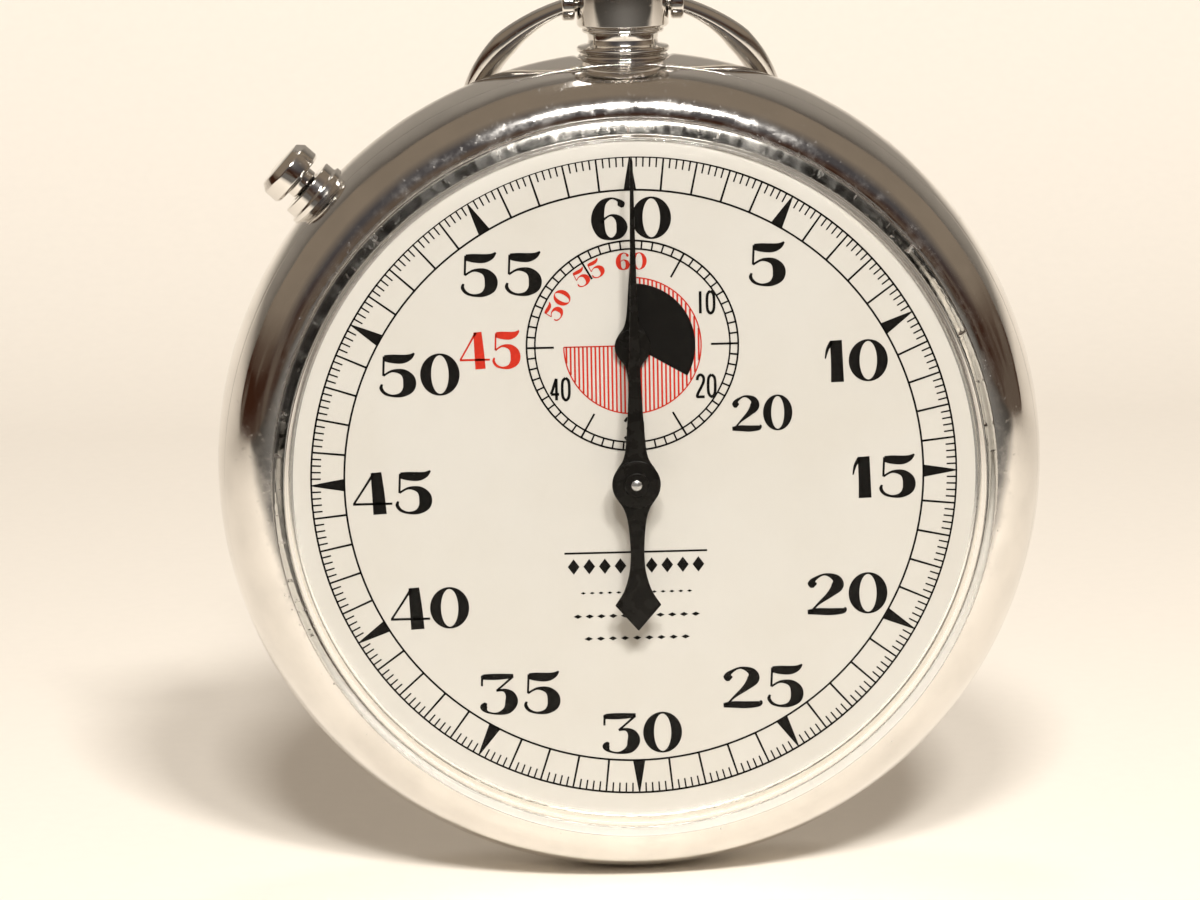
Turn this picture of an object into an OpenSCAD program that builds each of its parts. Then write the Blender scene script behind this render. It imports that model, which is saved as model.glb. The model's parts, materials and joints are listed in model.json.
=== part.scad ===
// Mechanical stopwatch: open face, sweep seconds hand, sixty minute register,
// winding and start-stop crown in the pendant, reset button at the upper left, folding bow.
//
// Every piece is drawn with +X towards 3 o'clock, +Y towards 12 o'clock and +Z out of the dial,
// from the middle plane of the case; upright() then stands the watch on its rim, dial towards -Y.

/* [Case] */
// Diameter of the case at its widest
case_d = 51; // [48:0.5:62]
// Radial thickness of the band between bezel and back
band_t = 3.1; // [2.5:0.1:3.7]
// Width of the bezel from the widest edge in to the crystal
bezel_w = 3.4; // [2.8:0.1:4.2]
// Height of the bezel's inner edge over the middle plane
bezel_h = 6.2; // [6.0:0.1:7.6]
// Depth of the flat of the back below the middle plane
back_h = 7.5; // [6.8:0.1:9]
// Radius of the flat in the middle of the back
flat_r = 10; // [8:0.5:12]
// Thickness of the sheet metal covers
cover_t = 0.6; // [0.4:0.05:0.8]

/* [Crystal and dial] */
// Height of the crystal's crown over the bezel's inner edge
crystal_h = 3.6; // [3:0.1:4.5]
// Thickness of the crystal
crystal_t = 0.85; // [0.6:0.05:1.0]
// Thickness of the dial
dial_t = 0.4; // [0.3:0.05:0.5]
// Distance from the centre of the dial up to the centre of the minute register
register_y = 8.13; // [8:0.01:8.3]

/* [Pendant, crown and bow] */
// Diameter of the pendant's collar
collar_d = 5.65; // [5.2:0.05:6.8]
// Diameter of the winding crown
crown_d = 7.8; // [7.4:0.1:9.4]
// Travel of the crown when it is pressed
crown_travel = 1.2; // [0.8:0.1:1.4]
// Diameter of the bow's wire
bow_wire = 1.6; // [1.3:0.02:1.94]
// Radius of the bow's ring, at the middle of the wire
bow_r = 9.4; // [8.6:0.1:11.3]
// Angle between the bow and the case when it is folded back
bow_rest = 28; // [27:1:60]

/* [Reset button] */
// Direction of the button, counted from 12 o'clock against the clock
button_at = 48; // [40:1:55]
// Diameter of the button's cap and sleeve
button_d = 3.8; // [3.4:0.02:4.58]
// Travel of the button
button_travel = 0.6; // [0.4:0.1:1]

/* [Movement] */
// Thickness of the bridges
bridge_t = 1.6; // [1.3:0.02:1.94]
// Height of the space between the main plate and the bridges
space_h = 3.5; // [3.5:0.1:4]
// Radius of the pivots
pivot_r = 0.15; // [0.1:0.01:0.18]
// Radial clearance of running fits
fit = 0.05; // [0.02:0.01:0.08]

/* [Hidden] */
$fn = 64;

// ---- case levels and radii ----
case_r = case_d / 2;
cavity_r = case_r - band_t;
seam_front = 3.2;              // height of the seam between band and bezel
seam_back = 2.1;               // depth of the seam between band and back cover
lip_h = 0.8;                   // height of the lips that bezel and cover press over
lip_t = 0.8;                   // thickness of those lips
rim_half = 1.2;                // half the height of the straight stretch of the rim
tube_r = 1.15;                 // tubes of pendant and button, where they pass through the band
crystal_r = case_r - bezel_w - 0.05;
ledge_t = 0.3;                 // ledge that the crystal stands on
crystal_foot = bezel_h - 0.25;
ledge_r = crystal_r - 0.65;
dial_top = crystal_foot - ledge_t - 0.05;
dial_r = crystal_r - 0.25;
dial_under = dial_top - dial_t;
work_h = 0.9;                  // height of the space under the dial for the register wheels

// ---- movement levels ----
plate_in = 2.5;                // inner face of the main plate
plate_out = dial_under - work_h;
bridge_in = plate_in - space_h;
bridge_out = bridge_in - bridge_t;
wind_top = bridge_out - 0.1;   // winding wheels lie on the bridges
wind_bottom = wind_top - 0.6;
ring_in_r = cavity_r - 1.7;
ring_out_r = cavity_r - fit;
plate_r = case_r - 4.2;
bridge_r = ring_in_r - 0.3;
hand_z = dial_top + 1.95;      // underside of the sweep hand
minute_hand_z = dial_top + 0.3;

// ---- wheel train: teeth and modules ----
barrel_n = 72;    barrel_m = 0.2;
great_pinion_n = 12;
great_n = 64;     great_m = 0.14;
third_pinion_n = 8;
third_n = 60;     third_m = 0.13;
seconds_pinion_n = 8;
seconds_n = 70;   seconds_m = 0.1;
escape_pinion_n = 7;
escape_teeth = 15;
escape_r = 3.1;
transfer_drive_n = 10;
transfer_n = 60;  transfer_m = 0.12;
transfer_pinion_n = 8;
minute_n = 80;    minute_m = 0.1;
crown_n = 28;     wind_m = 0.28;
ratchet_n = 40;
winding_pinion_n = 18;
winding_pinion_r = wind_m * winding_pinion_n / 2;
crown_wheel_r = wind_m * crown_n / 2;

// ---- places on the movement ----
function polar(r, a) = [r * cos(a), r * sin(a)];
function spacing(m, a, b) = m * (a + b) / 2;
// where a wheel sits that is r1 from p and r2 from q, on the side given by side
function meet(p, q, r1, r2, side) =
  let (d = norm(q - p), along = (r1 * r1 - r2 * r2 + d * d) / (2 * d),
       off = side * sqrt(r1 * r1 - along * along), u = (q - p) / d)
  p + along * u + off * [-u[1], u[0]];
function heading(p, q) = atan2(q[1] - p[1], q[0] - p[0]);

seconds_at = [0, 0];
minute_at = [0, register_y];
crown_wheel_at = [0, 15];
barrel_at = crown_wheel_at + polar(spacing(wind_m, crown_n, ratchet_n), -31.5);
great_at = barrel_at + polar(spacing(barrel_m, barrel_n, great_pinion_n), -84.5);
third_at = meet(seconds_at, great_at, spacing(third_m, third_n, seconds_pinion_n),
                spacing(great_m, great_n, third_pinion_n), -1);
escape_at = polar(spacing(seconds_m, seconds_n, escape_pinion_n), -103.5);
pallet_at = escape_at + polar(3.75, -100);
balance_at = pallet_at + polar(5.6, -97);
transfer_at = meet(seconds_at, minute_at, spacing(transfer_m, transfer_drive_n, transfer_n),
                   spacing(minute_m, transfer_pinion_n, minute_n), 1);
click_at = barrel_at + polar(7.4, -20);
column_at = [-10.5, 8.5];
operating_at = [-5.2, 18.4];
brake_at = [-13.5, -1.5];
hammer_at = [-8.8, 16.2];
barrel_pillars = [[17.5, 7], [4.9, 18.3], [-4, 11.7]];
train_pillars = [[18, -1.5], [-5.6, 2.6], [10, -4.4]];
cock_pillar = [8.5, -13.5];
pallet_pillar = [2.7, -8.4];
stud_r = 0.7;                  // studs that the levers turn on

// ---- levels of the wheels in the train space ----
barrel_z = bridge_in + 0.15;
barrel_h = 2;
barrel_cover_t = 0.25;
barrel_drum_r = 6.6;
great_z = plate_in - 0.55;
third_z = plate_in - 1.05;
seconds_z = bridge_in + 0.8;
escape_z = bridge_in + 1.5;
wheel_t = 0.25;
heart_z = bridge_in + 0.1;
heart_t = 0.5;
rim_z = bridge_in + 0.05;
rim_t = 0.6;
balance_r = 4.8;
lever_z = bridge_in + 0.65;
lever_t = 0.7;
brake_z = bridge_in + 1.5;
brake_t = 0.6;
cock_in = bridge_in - 0.9;
transfer_z = plate_out + 0.1;
minute_z = plate_out + 0.45;
register_wheel_t = 0.2;

// ---- winding and button pieces ----
stem_r = 0.6;
stem_square = 0.8;
stem_end = 18;                 // inner end of the stem, from the centre
winding_pinion_t = 1.2;
winding_pinion_y = crown_wheel_at[1] + crown_wheel_r - 0.25;
stem_round_from = winding_pinion_y + winding_pinion_t + crown_travel + 0.1;
pendant_y = case_r;            // the pendant is built up from the case's edge
collar_y = pendant_y + 1.6;
bow_y = pendant_y + 2.9;
collar_top = pendant_y + 5.1;
crown_y = collar_top + 0.3;
crown_hole = 1.7;              // depth of the recess under the crown
crown_len = 5.4;
spring_bore_r = 1.5;
spring_seat = case_r + 0.1;
stem_collar_y = pendant_y + 3.4;
stem_collar_t = 0.6;
button_stem_r = 0.75;
button_tail_r = 0.45;
button_bore_r = 0.9;
button_cap_r = case_r + 1.5;
button_cap_t = 1.55;
button_stop_r = case_r;         // inner face of the stem's flange
button_stem_end = 19.8;

module upright() { rotate([90, 0, 0]) children(); }
module at(p, z) { translate([p[0], p[1], z]) children(); }
// turns a piece drawn along +Z so that it points away from the centre at the angle a, from r
module outwards(a, r) { rotate([0, 0, a]) translate([0, r, 0]) rotate([-90, 0, 0]) children(); }
module rod(r, z0, z1) { translate([0, 0, z0]) cylinder(r = r, h = z1 - z0); }
module ring(r0, r1, z0, z1) {
  difference() {
    rod(r1, z0, z1);
    rod(r0, z0 - 1, z1 + 1);
  }
}

// ---- outlines that bezel, band and back cover share ----
steps = 8;
edge_w = 2.5;                  // radial and axial size of the rounded edge of the back
edge_h = 2.4;
function front_edge(z) = [case_r - bezel_w + bezel_w * sqrt(1 - pow(z / bezel_h, 2)), z];
function back_edge(a) = [case_r - edge_w + edge_w * cos(a), -edge_h * sin(a)];
seam_a = asin(seam_back / edge_h);
edge_end = 65;
dome_from = back_edge(edge_end);
dome_mid = [(dome_from[0] + flat_r) / 2, -(edge_h + back_h) / 2 - 1.15];
function dome(t) = (1 - t) * (1 - t) * dome_from + 2 * t * (1 - t) * dome_mid
                   + t * t * [flat_r, -back_h];
function bezel_curve() =
  [for (i = [0:steps]) let (a0 = asin(seam_front / bezel_h), a = a0 + (90 - a0) * i / steps)
    [case_r - bezel_w + bezel_w * cos(a), bezel_h * sin(a)]];
function dome_curve() = [for (i = [0:steps]) dome(i / steps)];

module case_middle() color("silver") upright() {
  difference() {
    rotate_extrude($fn = 128)
      polygon([back_edge(seam_a), [case_r, -rim_half], [case_r, rim_half],
               front_edge((rim_half + seam_front) / 2), front_edge(seam_front),
               [cavity_r + lip_t, seam_front], [cavity_r + lip_t, seam_front + lip_h],
               [cavity_r, seam_front + lip_h], [cavity_r, -seam_back]]);
    outwards(0, cavity_r - 1) rod(tube_r, 0, 6);
    outwards(button_at, cavity_r - 1) rod(tube_r, 0, 6);
  }
}

module back_cover() color("silver") upright() {
  // the back is turned from one sheet, with a thicker rim where it presses on
  rotate_extrude($fn = 128)
    polygon(concat(
      [back_edge(seam_a)], dome_curve(), [[0, -back_h], [0, -back_h + cover_t]],
      [for (i = [steps:-1:1]) dome(i / steps) + [-0.12, cover_t + 0.05]],
      [[cavity_r - 0.1, -seam_back]]));
}

module bezel() color("silver") upright() {
  rotate_extrude($fn = 128)
    polygon(concat(
      [[cavity_r + lip_t + 0.02, seam_front]], bezel_curve(),
      [[crystal_r + 0.02, bezel_h - 0.01], [crystal_r + 0.02, crystal_foot],
       [ledge_r, crystal_foot], [ledge_r, crystal_foot - ledge_t],
       [dial_r + 0.1, crystal_foot - ledge_t], [dial_r + 0.1, seam_front + lip_h + 0.05],
       [cavity_r + lip_t + 0.02, seam_front + lip_h + 0.05]]));
}

// ---- crystal: upright foot, rounded shoulder, shallow dome ----
shoulder_w = 1.9;
shoulder_h = 1.6;
shoulder_z = bezel_h + crystal_h - 0.8 - shoulder_h;
function crystal_curve(r, w, h, z0, top) = concat(
  [for (i = [0:6]) [r - w + w * cos(15 * i), z0 + h * sin(15 * i)]],
  [for (i = [5:-1:0]) let (q = (r - w) * i / 6) [q, z0 + h + (top - z0 - h) * (1 - pow(i / 6, 2))]]);

module crystal() color([0.8, 0.9, 0.95, 0.35]) upright() {
  top = bezel_h + crystal_h;
  difference() {
    rotate_extrude($fn = 128)
      polygon(concat([[0, crystal_foot], [crystal_r, crystal_foot]],
                     crystal_curve(crystal_r, shoulder_w, shoulder_h, shoulder_z, top)));
    rotate_extrude($fn = 128)
      polygon(concat([[0, crystal_foot - 1], [crystal_r - crystal_t, crystal_foot - 1]],
                     crystal_curve(crystal_r - crystal_t, shoulder_w - 0.5, shoulder_h - 0.5,
                                   shoulder_z + 0.25, top - crystal_t)));
  }
}

// ---- pendant, crown, bow ----
module pendant() color("silver") upright() {
  collar_r = collar_d / 2;
  difference() {
    outwards(0, 0) {
      rod(tube_r, cavity_r + 0.05, case_r + 0.05);
      // foot, two beads, neck and collar
      rod(2.45, case_r + 0.02, case_r + 0.2);
      rod(collar_r - 0.2, case_r + 0.2, case_r + 0.6);
      rod(collar_r, case_r + 0.6, case_r + 1);
      rod(2.15, case_r + 1, collar_y);
      rod(2.5, collar_y - 0.3, collar_y);
      rod(collar_r, collar_y, collar_top);
    }
    outwards(0, 0) {
      rod(spring_bore_r, spring_seat, collar_top + 1);
      rod(stem_r + 0.25, cavity_r - 1, collar_top);
    }
    for (s = [-1, 1])
      translate([s * (collar_r - 0.8), bow_y, 0]) rotate([0, s * 90, 0])
        rod(0.45 + fit, 0, 2);
  }
}

module crown() color("silver") upright() {
  flutes = 28;
  r = crown_d / 2;
  skirt_r = collar_d / 2 + 0.15;
  outwards(0, crown_y) difference() {
    union() {
      linear_extrude(crown_len - 1)
        polygon([for (i = [0:flutes - 1], k = [[0, r], [0.45, r], [0.6, r - 0.25], [0.85, r - 0.25]])
          polar(k[1], (i + k[0]) * 360 / flutes)]);
      translate([0, 0, crown_len - 1]) cylinder(r1 = r - 0.3, r2 = r - 1.6, h = 1);
    }
    rod(skirt_r, -1, crown_hole);
    rod(stem_r, -1, crown_hole + 1.6);
  }
}

module winding_stem() color("lightgrey") upright() {
  outwards(0, 0) {
    translate([-stem_square / 2, -stem_square / 2, stem_end])
      cube([stem_square, stem_square, stem_round_from - stem_end]);
    rod(stem_r, stem_round_from, crown_y + crown_hole + 1.6);
    // shoulders that hold the sliding collar
    rod(stem_r + 0.2, stem_collar_y - 0.3, stem_collar_y - 0.02);
    rod(stem_r + 0.2, stem_collar_y + stem_collar_t + 0.02, stem_collar_y + stem_collar_t + 0.3);
  }
}

module stem_collar() color("gold") upright() {
  outwards(0, 0)
    ring(stem_r + fit, spring_bore_r - fit, stem_collar_y, stem_collar_y + stem_collar_t);
}

// a wire swept along a helix about Z, closed at both ends
module coil(r, wire, z0, z1, turns) {
  sides = 8;
  rings = 12 * turns;
  points = [for (i = [0:rings], k = [0:sides - 1])
    let (a = 360 * turns * i / rings, b = 360 * k / sides, q = r + wire * cos(b) / 2)
    [q * cos(a), q * sin(a), z0 + (z1 - z0) * i / rings + wire * sin(b) / 2]];
  walls = [for (i = [0:rings - 1], k = [0:sides - 1])
    let (n = (k + 1) % sides)
    [i * sides + k, (i + 1) * sides + k, (i + 1) * sides + n, i * sides + n]];
  ends = [[for (k = [0:sides - 1]) k], [for (k = [sides - 1:-1:0]) rings * sides + k]];
  polyhedron(points, concat(walls, ends), convexity = 8);
}

module crown_spring() color("lightgrey") upright() {
  wire = 0.28;
  outwards(0, 0)
    coil(1.15, wire, spring_seat + wire / 2 + 0.02, stem_collar_y - wire / 2 - 0.02, 5);
}

module bow() color("silver") upright() {
  knuckle_x = collar_d / 2 + 0.1;
  ring_y = sqrt(bow_r * bow_r - pow(knuckle_x + 0.4, 2));
  open_a = asin((knuckle_x + 0.4) / bow_r);
  translate([0, bow_y, 0]) rotate([bow_rest, 0, 0]) {
    difference() {
      translate([0, -ring_y, 0])
        rotate_extrude(angle = 360 - 2 * open_a, start = 90 + open_a)
          translate([bow_r, 0]) circle(d = bow_wire);
      translate([-knuckle_x, -4, -2]) cube([2 * knuckle_x, 8, 4]);
    }
    for (s = [-1, 1]) rotate([0, s * 90, 0]) {
      rod(0.95, knuckle_x, knuckle_x + 0.8);
      rod(0.45, collar_d / 2 - 0.7, knuckle_x + 0.4);
    }
  }
}

// ---- reset button ----
module reset_button() color("silver") upright() {
  outwards(button_at, 0) {
    rod(button_d / 2, button_cap_r, button_cap_r + button_cap_t - 0.4);
    translate([0, 0, button_cap_r + button_cap_t - 0.4])
      cylinder(r1 = button_d / 2, r2 = button_d / 2 - 0.4, h = 0.4);
    rod(button_stem_r, button_stop_r, button_cap_r + 0.2);
    rod(button_tail_r, button_stem_end, button_stop_r);
    rod(button_bore_r - fit, button_stop_r, button_stop_r + 0.3);
  }
}

module button_sleeve() color("silver") upright() {
  difference() {
    outwards(button_at, 0) {
      rod(tube_r, cavity_r + 0.05, case_r + 0.05);
      rod(button_d / 2 + 0.2, case_r + 0.02, case_r + 0.3);
      rod(button_d / 2, case_r + 0.3, button_cap_r - button_travel - 0.05);
    }
    outwards(button_at, 0) {
      rod(button_tail_r + fit, 0, case_r + 3);
      rod(button_bore_r, cavity_r + 0.5, case_r + 3);
    }
  }
}

module button_spring() color("lightgrey") upright() {
  wire = 0.2;
  outwards(button_at, 0)
    coil(0.68, wire, cavity_r + 0.5 + wire / 2 + 0.02, button_stop_r - wire / 2 - 0.02, 4);
}

// ---- dial and hands ----
dial_feet = [polar(plate_r - 2.5, 200), polar(plate_r - 2.5, -20)];
module dial() color("ivory") upright() {
  difference() {
    rod(dial_r, dial_under, dial_top);
    at(seconds_at, 0) rod(0.55, 0, 9);
    at(minute_at, 0) rod(0.45, 0, 9);
  }
  for (p = dial_feet) at(p, 0) rod(0.45, plate_in + 0.3, dial_under);
}

module dial_screws() color("steelblue") upright() {
  for (a = [200, -20])
    outwards(a - 90, 0) translate([0, -(plate_in + plate_out) / 2, 0])
      rod(0.3, plate_r - 2.05, plate_r - 0.1);
}

module sweep_hand() color("black") upright() {
  at(seconds_at, hand_z) {
    difference() {
      union() {
        linear_extrude(0.22)
          polygon([[-0.62, 1.2], [-0.375, 5.6], [-0.19, 14], [-0.13, 19.7], [0, 20],
                   [0.13, 19.7], [0.19, 14], [0.375, 5.6], [0.62, 1.2]]);
        linear_extrude(0.22)
          polygon([[-0.8, -1.1], [-0.52, -3.9], [-1.4, -7.8], [0, -9.05], [1.4, -7.8],
                   [0.52, -3.9], [0.8, -1.1]]);
        rod(1.47, 0, 0.3);
        rod(0.75, -0.6, 0.5);
      }
      rod(0.35, -1, 0.35);
    }
  }
}

module minute_hand() color("black") upright() {
  at(minute_at, minute_hand_z) {
    difference() {
      union() {
        linear_extrude(0.16)
          polygon([[-0.4, 0.8], [-0.22, 3.5], [0, 5.75], [0.22, 3.5], [0.4, 0.8]]);
        linear_extrude(0.16)
          polygon([[-0.35, -0.8], [-0.28, -2.5], [0, -2.7], [0.28, -2.5], [0.35, -0.8]]);
        rod(1.1, 0, 0.25);
      }
      rod(0.25, -1, 0.2);
    }
  }
}

// ---- plates and bridges ----
jewel_r = 0.7;
jewel_t = 0.6;
plate_jewels = [third_at, escape_at, pallet_at, balance_at];
bridge_jewels = [third_at, escape_at];
module pivot_hole(p, z) { at(p, z) rod(pivot_r + fit, -1.2, 1.2); }

module movement_ring() color("goldenrod") upright() {
  difference() {
    ring(ring_in_r, ring_out_r, bridge_in, plate_in);
    outwards(0, cavity_r - 4) rod(stem_r + 0.25, 0, 6);
    outwards(button_at, cavity_r - 4) rod(button_tail_r + 0.2, 0, 6);
    for (a = [205, 335]) at(polar(cavity_r - 0.9, a), 0) rod(0.4, bridge_in - 1, plate_in + 1);
  }
}

module main_plate() color("goldenrod") upright() {
  difference() {
    union() {
      rod(plate_r, plate_in, plate_out);
      ring(plate_r - 1, plate_r, plate_out, dial_under);
      for (p = concat(barrel_pillars, train_pillars)) at(p, 0) rod(1.3, bridge_in, plate_in);
      at(cock_pillar, 0) rod(2, cock_in, plate_in);
      at(pallet_pillar, 0) rod(0.9, bridge_in + 0.75, plate_in);
      at(column_at, 0) rod(stud_r, lever_z - 0.3, plate_in);
      at(operating_at, 0) rod(stud_r, lever_z, plate_in);
      at(brake_at, 0) rod(stud_r, brake_z, plate_in);
      at(hammer_at, 0) rod(stud_r, heart_z, plate_in);
      at(transfer_at, 0) rod(0.25, plate_out, plate_out + 0.8);
    }
    at(seconds_at, 0) rod(0.35 + fit, plate_in - 1, plate_out + 1);
    at(minute_at, 0) rod(0.3 + fit, plate_in - 1, plate_out + 1);
    at(great_at, 0) rod(pivot_r + fit, plate_in - 1, plate_in + 0.8);
    at(barrel_at, 0) rod(0.6 + fit, plate_in - 1, plate_in + 1);
    for (p = plate_jewels) at(p, 0) rod(jewel_r, plate_in - 1, plate_in + jewel_t);
    for (p = dial_feet) at(p, 0) rod(0.45 + fit, plate_in + 0.2, dial_under + 1);
    for (a = [200, -20]) outwards(a - 90, 0)
      translate([0, -(plate_in + plate_out) / 2, 0]) rod(0.3, plate_r - 2.6, plate_r + 1);
    for (p = concat(barrel_pillars, train_pillars)) at(p, 0) rod(0.4, bridge_in - 1, bridge_in + 2);
    at(cock_pillar, 0) rod(0.4, cock_in - 1, cock_in + 2);
    at(pallet_pillar, 0) rod(0.3, bridge_in, bridge_in + 2.2);
    for (a = [205, 335]) at(polar(cavity_r - 0.9, a), 0) rod(0.4, plate_in - 1, plate_in + 0.8);
    // room for the winding pinion
    outwards(0, 0) rod(winding_pinion_r + 0.6, crown_wheel_at[1] + crown_wheel_r - 0.6, plate_r + 1);
  }
}

// the part of the bridge disc between two heights and to the right of x0
module bridge_blank(x0, y0, y1, z0, z1) {
  intersection() {
    rod(bridge_r, z0, z1);
    translate([x0, y0, z0 - 1]) cube([2 * case_r, y1 - y0, z1 - z0 + 2]);
  }
}

module barrel_bridge() color("gold") upright() {
  difference() {
    bridge_blank(-5.4, 5.4, case_r, bridge_out, bridge_in);
    at(barrel_at, 0) rod(0.9 + fit, bridge_out - 1, bridge_in + 1);
    at(minute_at, 0) rod(pivot_r + fit, bridge_in - 0.8, bridge_in + 1);
    at(crown_wheel_at, 0) rod(0.5, bridge_out - 1, bridge_in + 1);
    for (p = barrel_pillars) at(p, 0) rod(0.4, bridge_out - 1, bridge_in + 1);
    at(click_at, 0) rod(0.4, bridge_out - 1, bridge_in + 1);
    outwards(0, 0) rod(winding_pinion_r + 0.6, crown_wheel_at[1] + crown_wheel_r - 0.6, case_r);
  }
  // boss that the crown wheel turns on
  at(crown_wheel_at, 0) ring(0.5, 1.4, wind_bottom, bridge_out);
  at(click_at, 0) ring(0.4, 0.6, wind_bottom, bridge_out);
}

module train_bridge() color("gold") upright() {
  difference() {
    bridge_blank(-7.4, -6, 5.2, bridge_out, bridge_in);
    at(seconds_at, 0) rod(pivot_r + fit, bridge_in - 0.8, bridge_in + 1);
    at(great_at, 0) rod(pivot_r + fit, bridge_in - 0.8, bridge_in + 1);
    for (p = bridge_jewels) at(p, 0) rod(jewel_r, bridge_in - jewel_t, bridge_in + 1);
    for (p = train_pillars) at(p, 0) rod(0.4, bridge_out - 1, bridge_in + 1);
  }
}

module bar(p, q, w, z0, z1) {
  at(p, z0) rotate([0, 0, heading(p, q)]) translate([0, -w / 2, 0]) cube([norm(q - p), w, z1 - z0]);
}

module balance_cock() color("gold") upright() {
  difference() {
    union() {
      bar(cock_pillar, balance_at, 3, cock_in - 1.1, cock_in);
      at(cock_pillar, 0) rod(2, cock_in - 1.1, cock_in);
      at(balance_at, 0) rod(1.8, cock_in - 1.1, cock_in);
    }
    at(balance_at, 0) rod(jewel_r, cock_in - jewel_t, cock_in + 1);
    at(cock_pillar, 0) rod(0.4, cock_in - 2, cock_in + 1);
    at(stud_at, 0) rod(0.35, cock_in - 2, cock_in + 1);
  }
}

module pallet_cock() color("gold") upright() {
  z0 = bridge_in + 0.05;
  z1 = bridge_in + 0.75;
  difference() {
    union() {
      bar(pallet_pillar, pallet_at, 1.1, z0, z1);
      at(pallet_pillar, 0) rod(0.9, z0, z1);
      at(pallet_at, 0) rod(0.65, z0, z1);
    }
    at(pallet_at, 0) rod(pivot_r + fit, z0 - 1, z1 + 1);
    at(pallet_pillar, 0) rod(0.3, z0 - 1, z1 + 1);
  }
}

module screw(p, z, head_r, head_t, r, len) {
  at(p, z) difference() {
    union() {
      rod(head_r, -head_t, 0);
      rod(r, 0, len);
    }
    translate([-head_r - 1, -0.09, -head_t - 1]) cube([2 * head_r + 2, 0.18, 1.15]);
  }
}

module bridge_screws() color("steelblue") upright() {
  for (p = concat(barrel_pillars, train_pillars))
    screw(p, bridge_out, 0.8, 0.4, 0.4, bridge_t + 1.6);
  screw(cock_pillar, cock_in - 1.1, 0.8, 0.4, 0.4, 2.6);
}

module casing_screws() color("steelblue") upright() {
  for (a = [205, 335])
    screw(polar(cavity_r - 0.9, a), bridge_in, 0.7, 0.35, 0.4, space_h + 0.7);
  screw(pallet_pillar, bridge_in + 0.05, 0.55, 0.3, 0.3, 2);
}

module jewels() color("crimson") upright() {
  for (p = plate_jewels) at(p, 0) ring(pivot_r + fit, jewel_r, plate_in, plate_in + jewel_t);
  for (p = bridge_jewels) at(p, 0) ring(pivot_r + fit, jewel_r, bridge_in - jewel_t, bridge_in);
  at(balance_at, 0) ring(pivot_r + fit, jewel_r, cock_in - jewel_t, cock_in);
}

// ---- wheels ----
// outline of a wheel: straight sided teeth of module m, the first of them at the angle a
function teeth(n, m, a, root, tip) = [for (i = [0:n - 1], k =
  [[-root, -1.1], [-tip, 0.8], [tip, 0.8], [root, -1.1]])
  polar(m * (n / 2 + k[1]), a + (i + k[0]) * 360 / n)];
module wheel(p, n, m, a, z, t, rim, hub_r, arms) {
  at(p, z) {
    difference() {
      linear_extrude(t) polygon(teeth(n, m, a, 0.2, 0.09));
      rod(m * n / 2 - rim, -1, t + 1);
    }
    rod(hub_r, 0, t);
    for (i = [0:arms - 1])
      rotate([0, 0, a + 20 + i * 360 / arms]) translate([0, -0.2, 0])
        cube([m * n / 2 - rim + 0.1, 0.4, t]);
  }
}
module pinion(p, n, m, a, z, t) { at(p, z) linear_extrude(t) polygon(teeth(n, m, a, 0.19, 0.08)); }
module arbor(p, r, z0, z1, end0, end1) {
  at(p, 0) {
    rod(r, z0, z1);
    rod(pivot_r, end0, z0);
    rod(pivot_r, z1, end1);
  }
}
// angle of the first tooth of a wheel with n teeth, so that a gap faces the tooth that its
// neighbour of other_n teeth has at the angle tooth_a, when the neighbour lies towards a
function gap_to(n, a, other_n, tooth_a) =
  a + 180 / n - (tooth_a - (a - 180)) * other_n / n;

module barrel() color("goldenrod") upright() {
  a = heading(barrel_at, great_at);
  difference() {
    union() {
      at(barrel_at, barrel_z) linear_extrude(0.6) polygon(teeth(barrel_n, barrel_m, a, 0.2, 0.09));
      at(barrel_at, 0) rod(barrel_drum_r, barrel_z, barrel_z + barrel_h);
    }
    at(barrel_at, 0) rod(barrel_drum_r - 0.5, barrel_z + 0.4, barrel_z + barrel_h + 1);
    at(barrel_at, 0) rod(0.9 + fit, barrel_z - 1, barrel_z + 1);
  }
}

module barrel_cover() color("goldenrod") upright() {
  z = barrel_z + barrel_h;
  at(barrel_at, 0) ring(0.6 + fit, barrel_drum_r, z, z + barrel_cover_t);
}

module barrel_arbor() color("lightgrey") upright() {
  at(barrel_at, 0) {
    rod(0.9, bridge_out, barrel_z + 0.45);
    rod(1.6, barrel_z + 0.45, barrel_z + barrel_h - 0.05);
    rod(0.6, barrel_z + barrel_h - 0.05, plate_in + 0.9);
    difference() {
      translate([-0.55, -0.55, wind_bottom]) cube([1.1, 1.1, bridge_out - wind_bottom + 0.1]);
      rod(0.3, wind_bottom - 1, bridge_out);
    }
  }
}

module mainspring() color("slategrey") upright() {
  // flat spring in a spiral, wound on the arbor's hub and lying against the barrel's wall
  turns = 7;
  per = 12;
  r0 = 1.75;
  r1 = barrel_drum_r - 0.75;
  t = 0.16;
  outer = [for (i = [0:turns * per]) polar(r0 + t + (r1 - r0) * i / (turns * per), i * 360 / per)];
  inner = [for (i = [turns * per:-1:0]) polar(r0 + (r1 - r0) * i / (turns * per), i * 360 / per)];
  at(barrel_at, barrel_z + 0.45) linear_extrude(barrel_h - 0.55) polygon(concat(outer, inner));
}

// direction of the crown wheel's tooth nearest to the ratchet wheel; one tooth points at 90 degrees
crown_tooth_a = heading(crown_wheel_at, barrel_at)
  + (90 - heading(crown_wheel_at, barrel_at)) % (360 / crown_n);
module ratchet_wheel() color("lightgrey") upright() {
  a = heading(barrel_at, crown_wheel_at);
  difference() {
    at(barrel_at, wind_bottom) linear_extrude(wind_top - wind_bottom)
      polygon(teeth(ratchet_n, wind_m, gap_to(ratchet_n, a, crown_n, crown_tooth_a), 0.2, 0.09));
    at(barrel_at, 0) translate([-0.6, -0.6, wind_bottom - 1]) cube([1.2, 1.2, 3]);
  }
}

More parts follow.
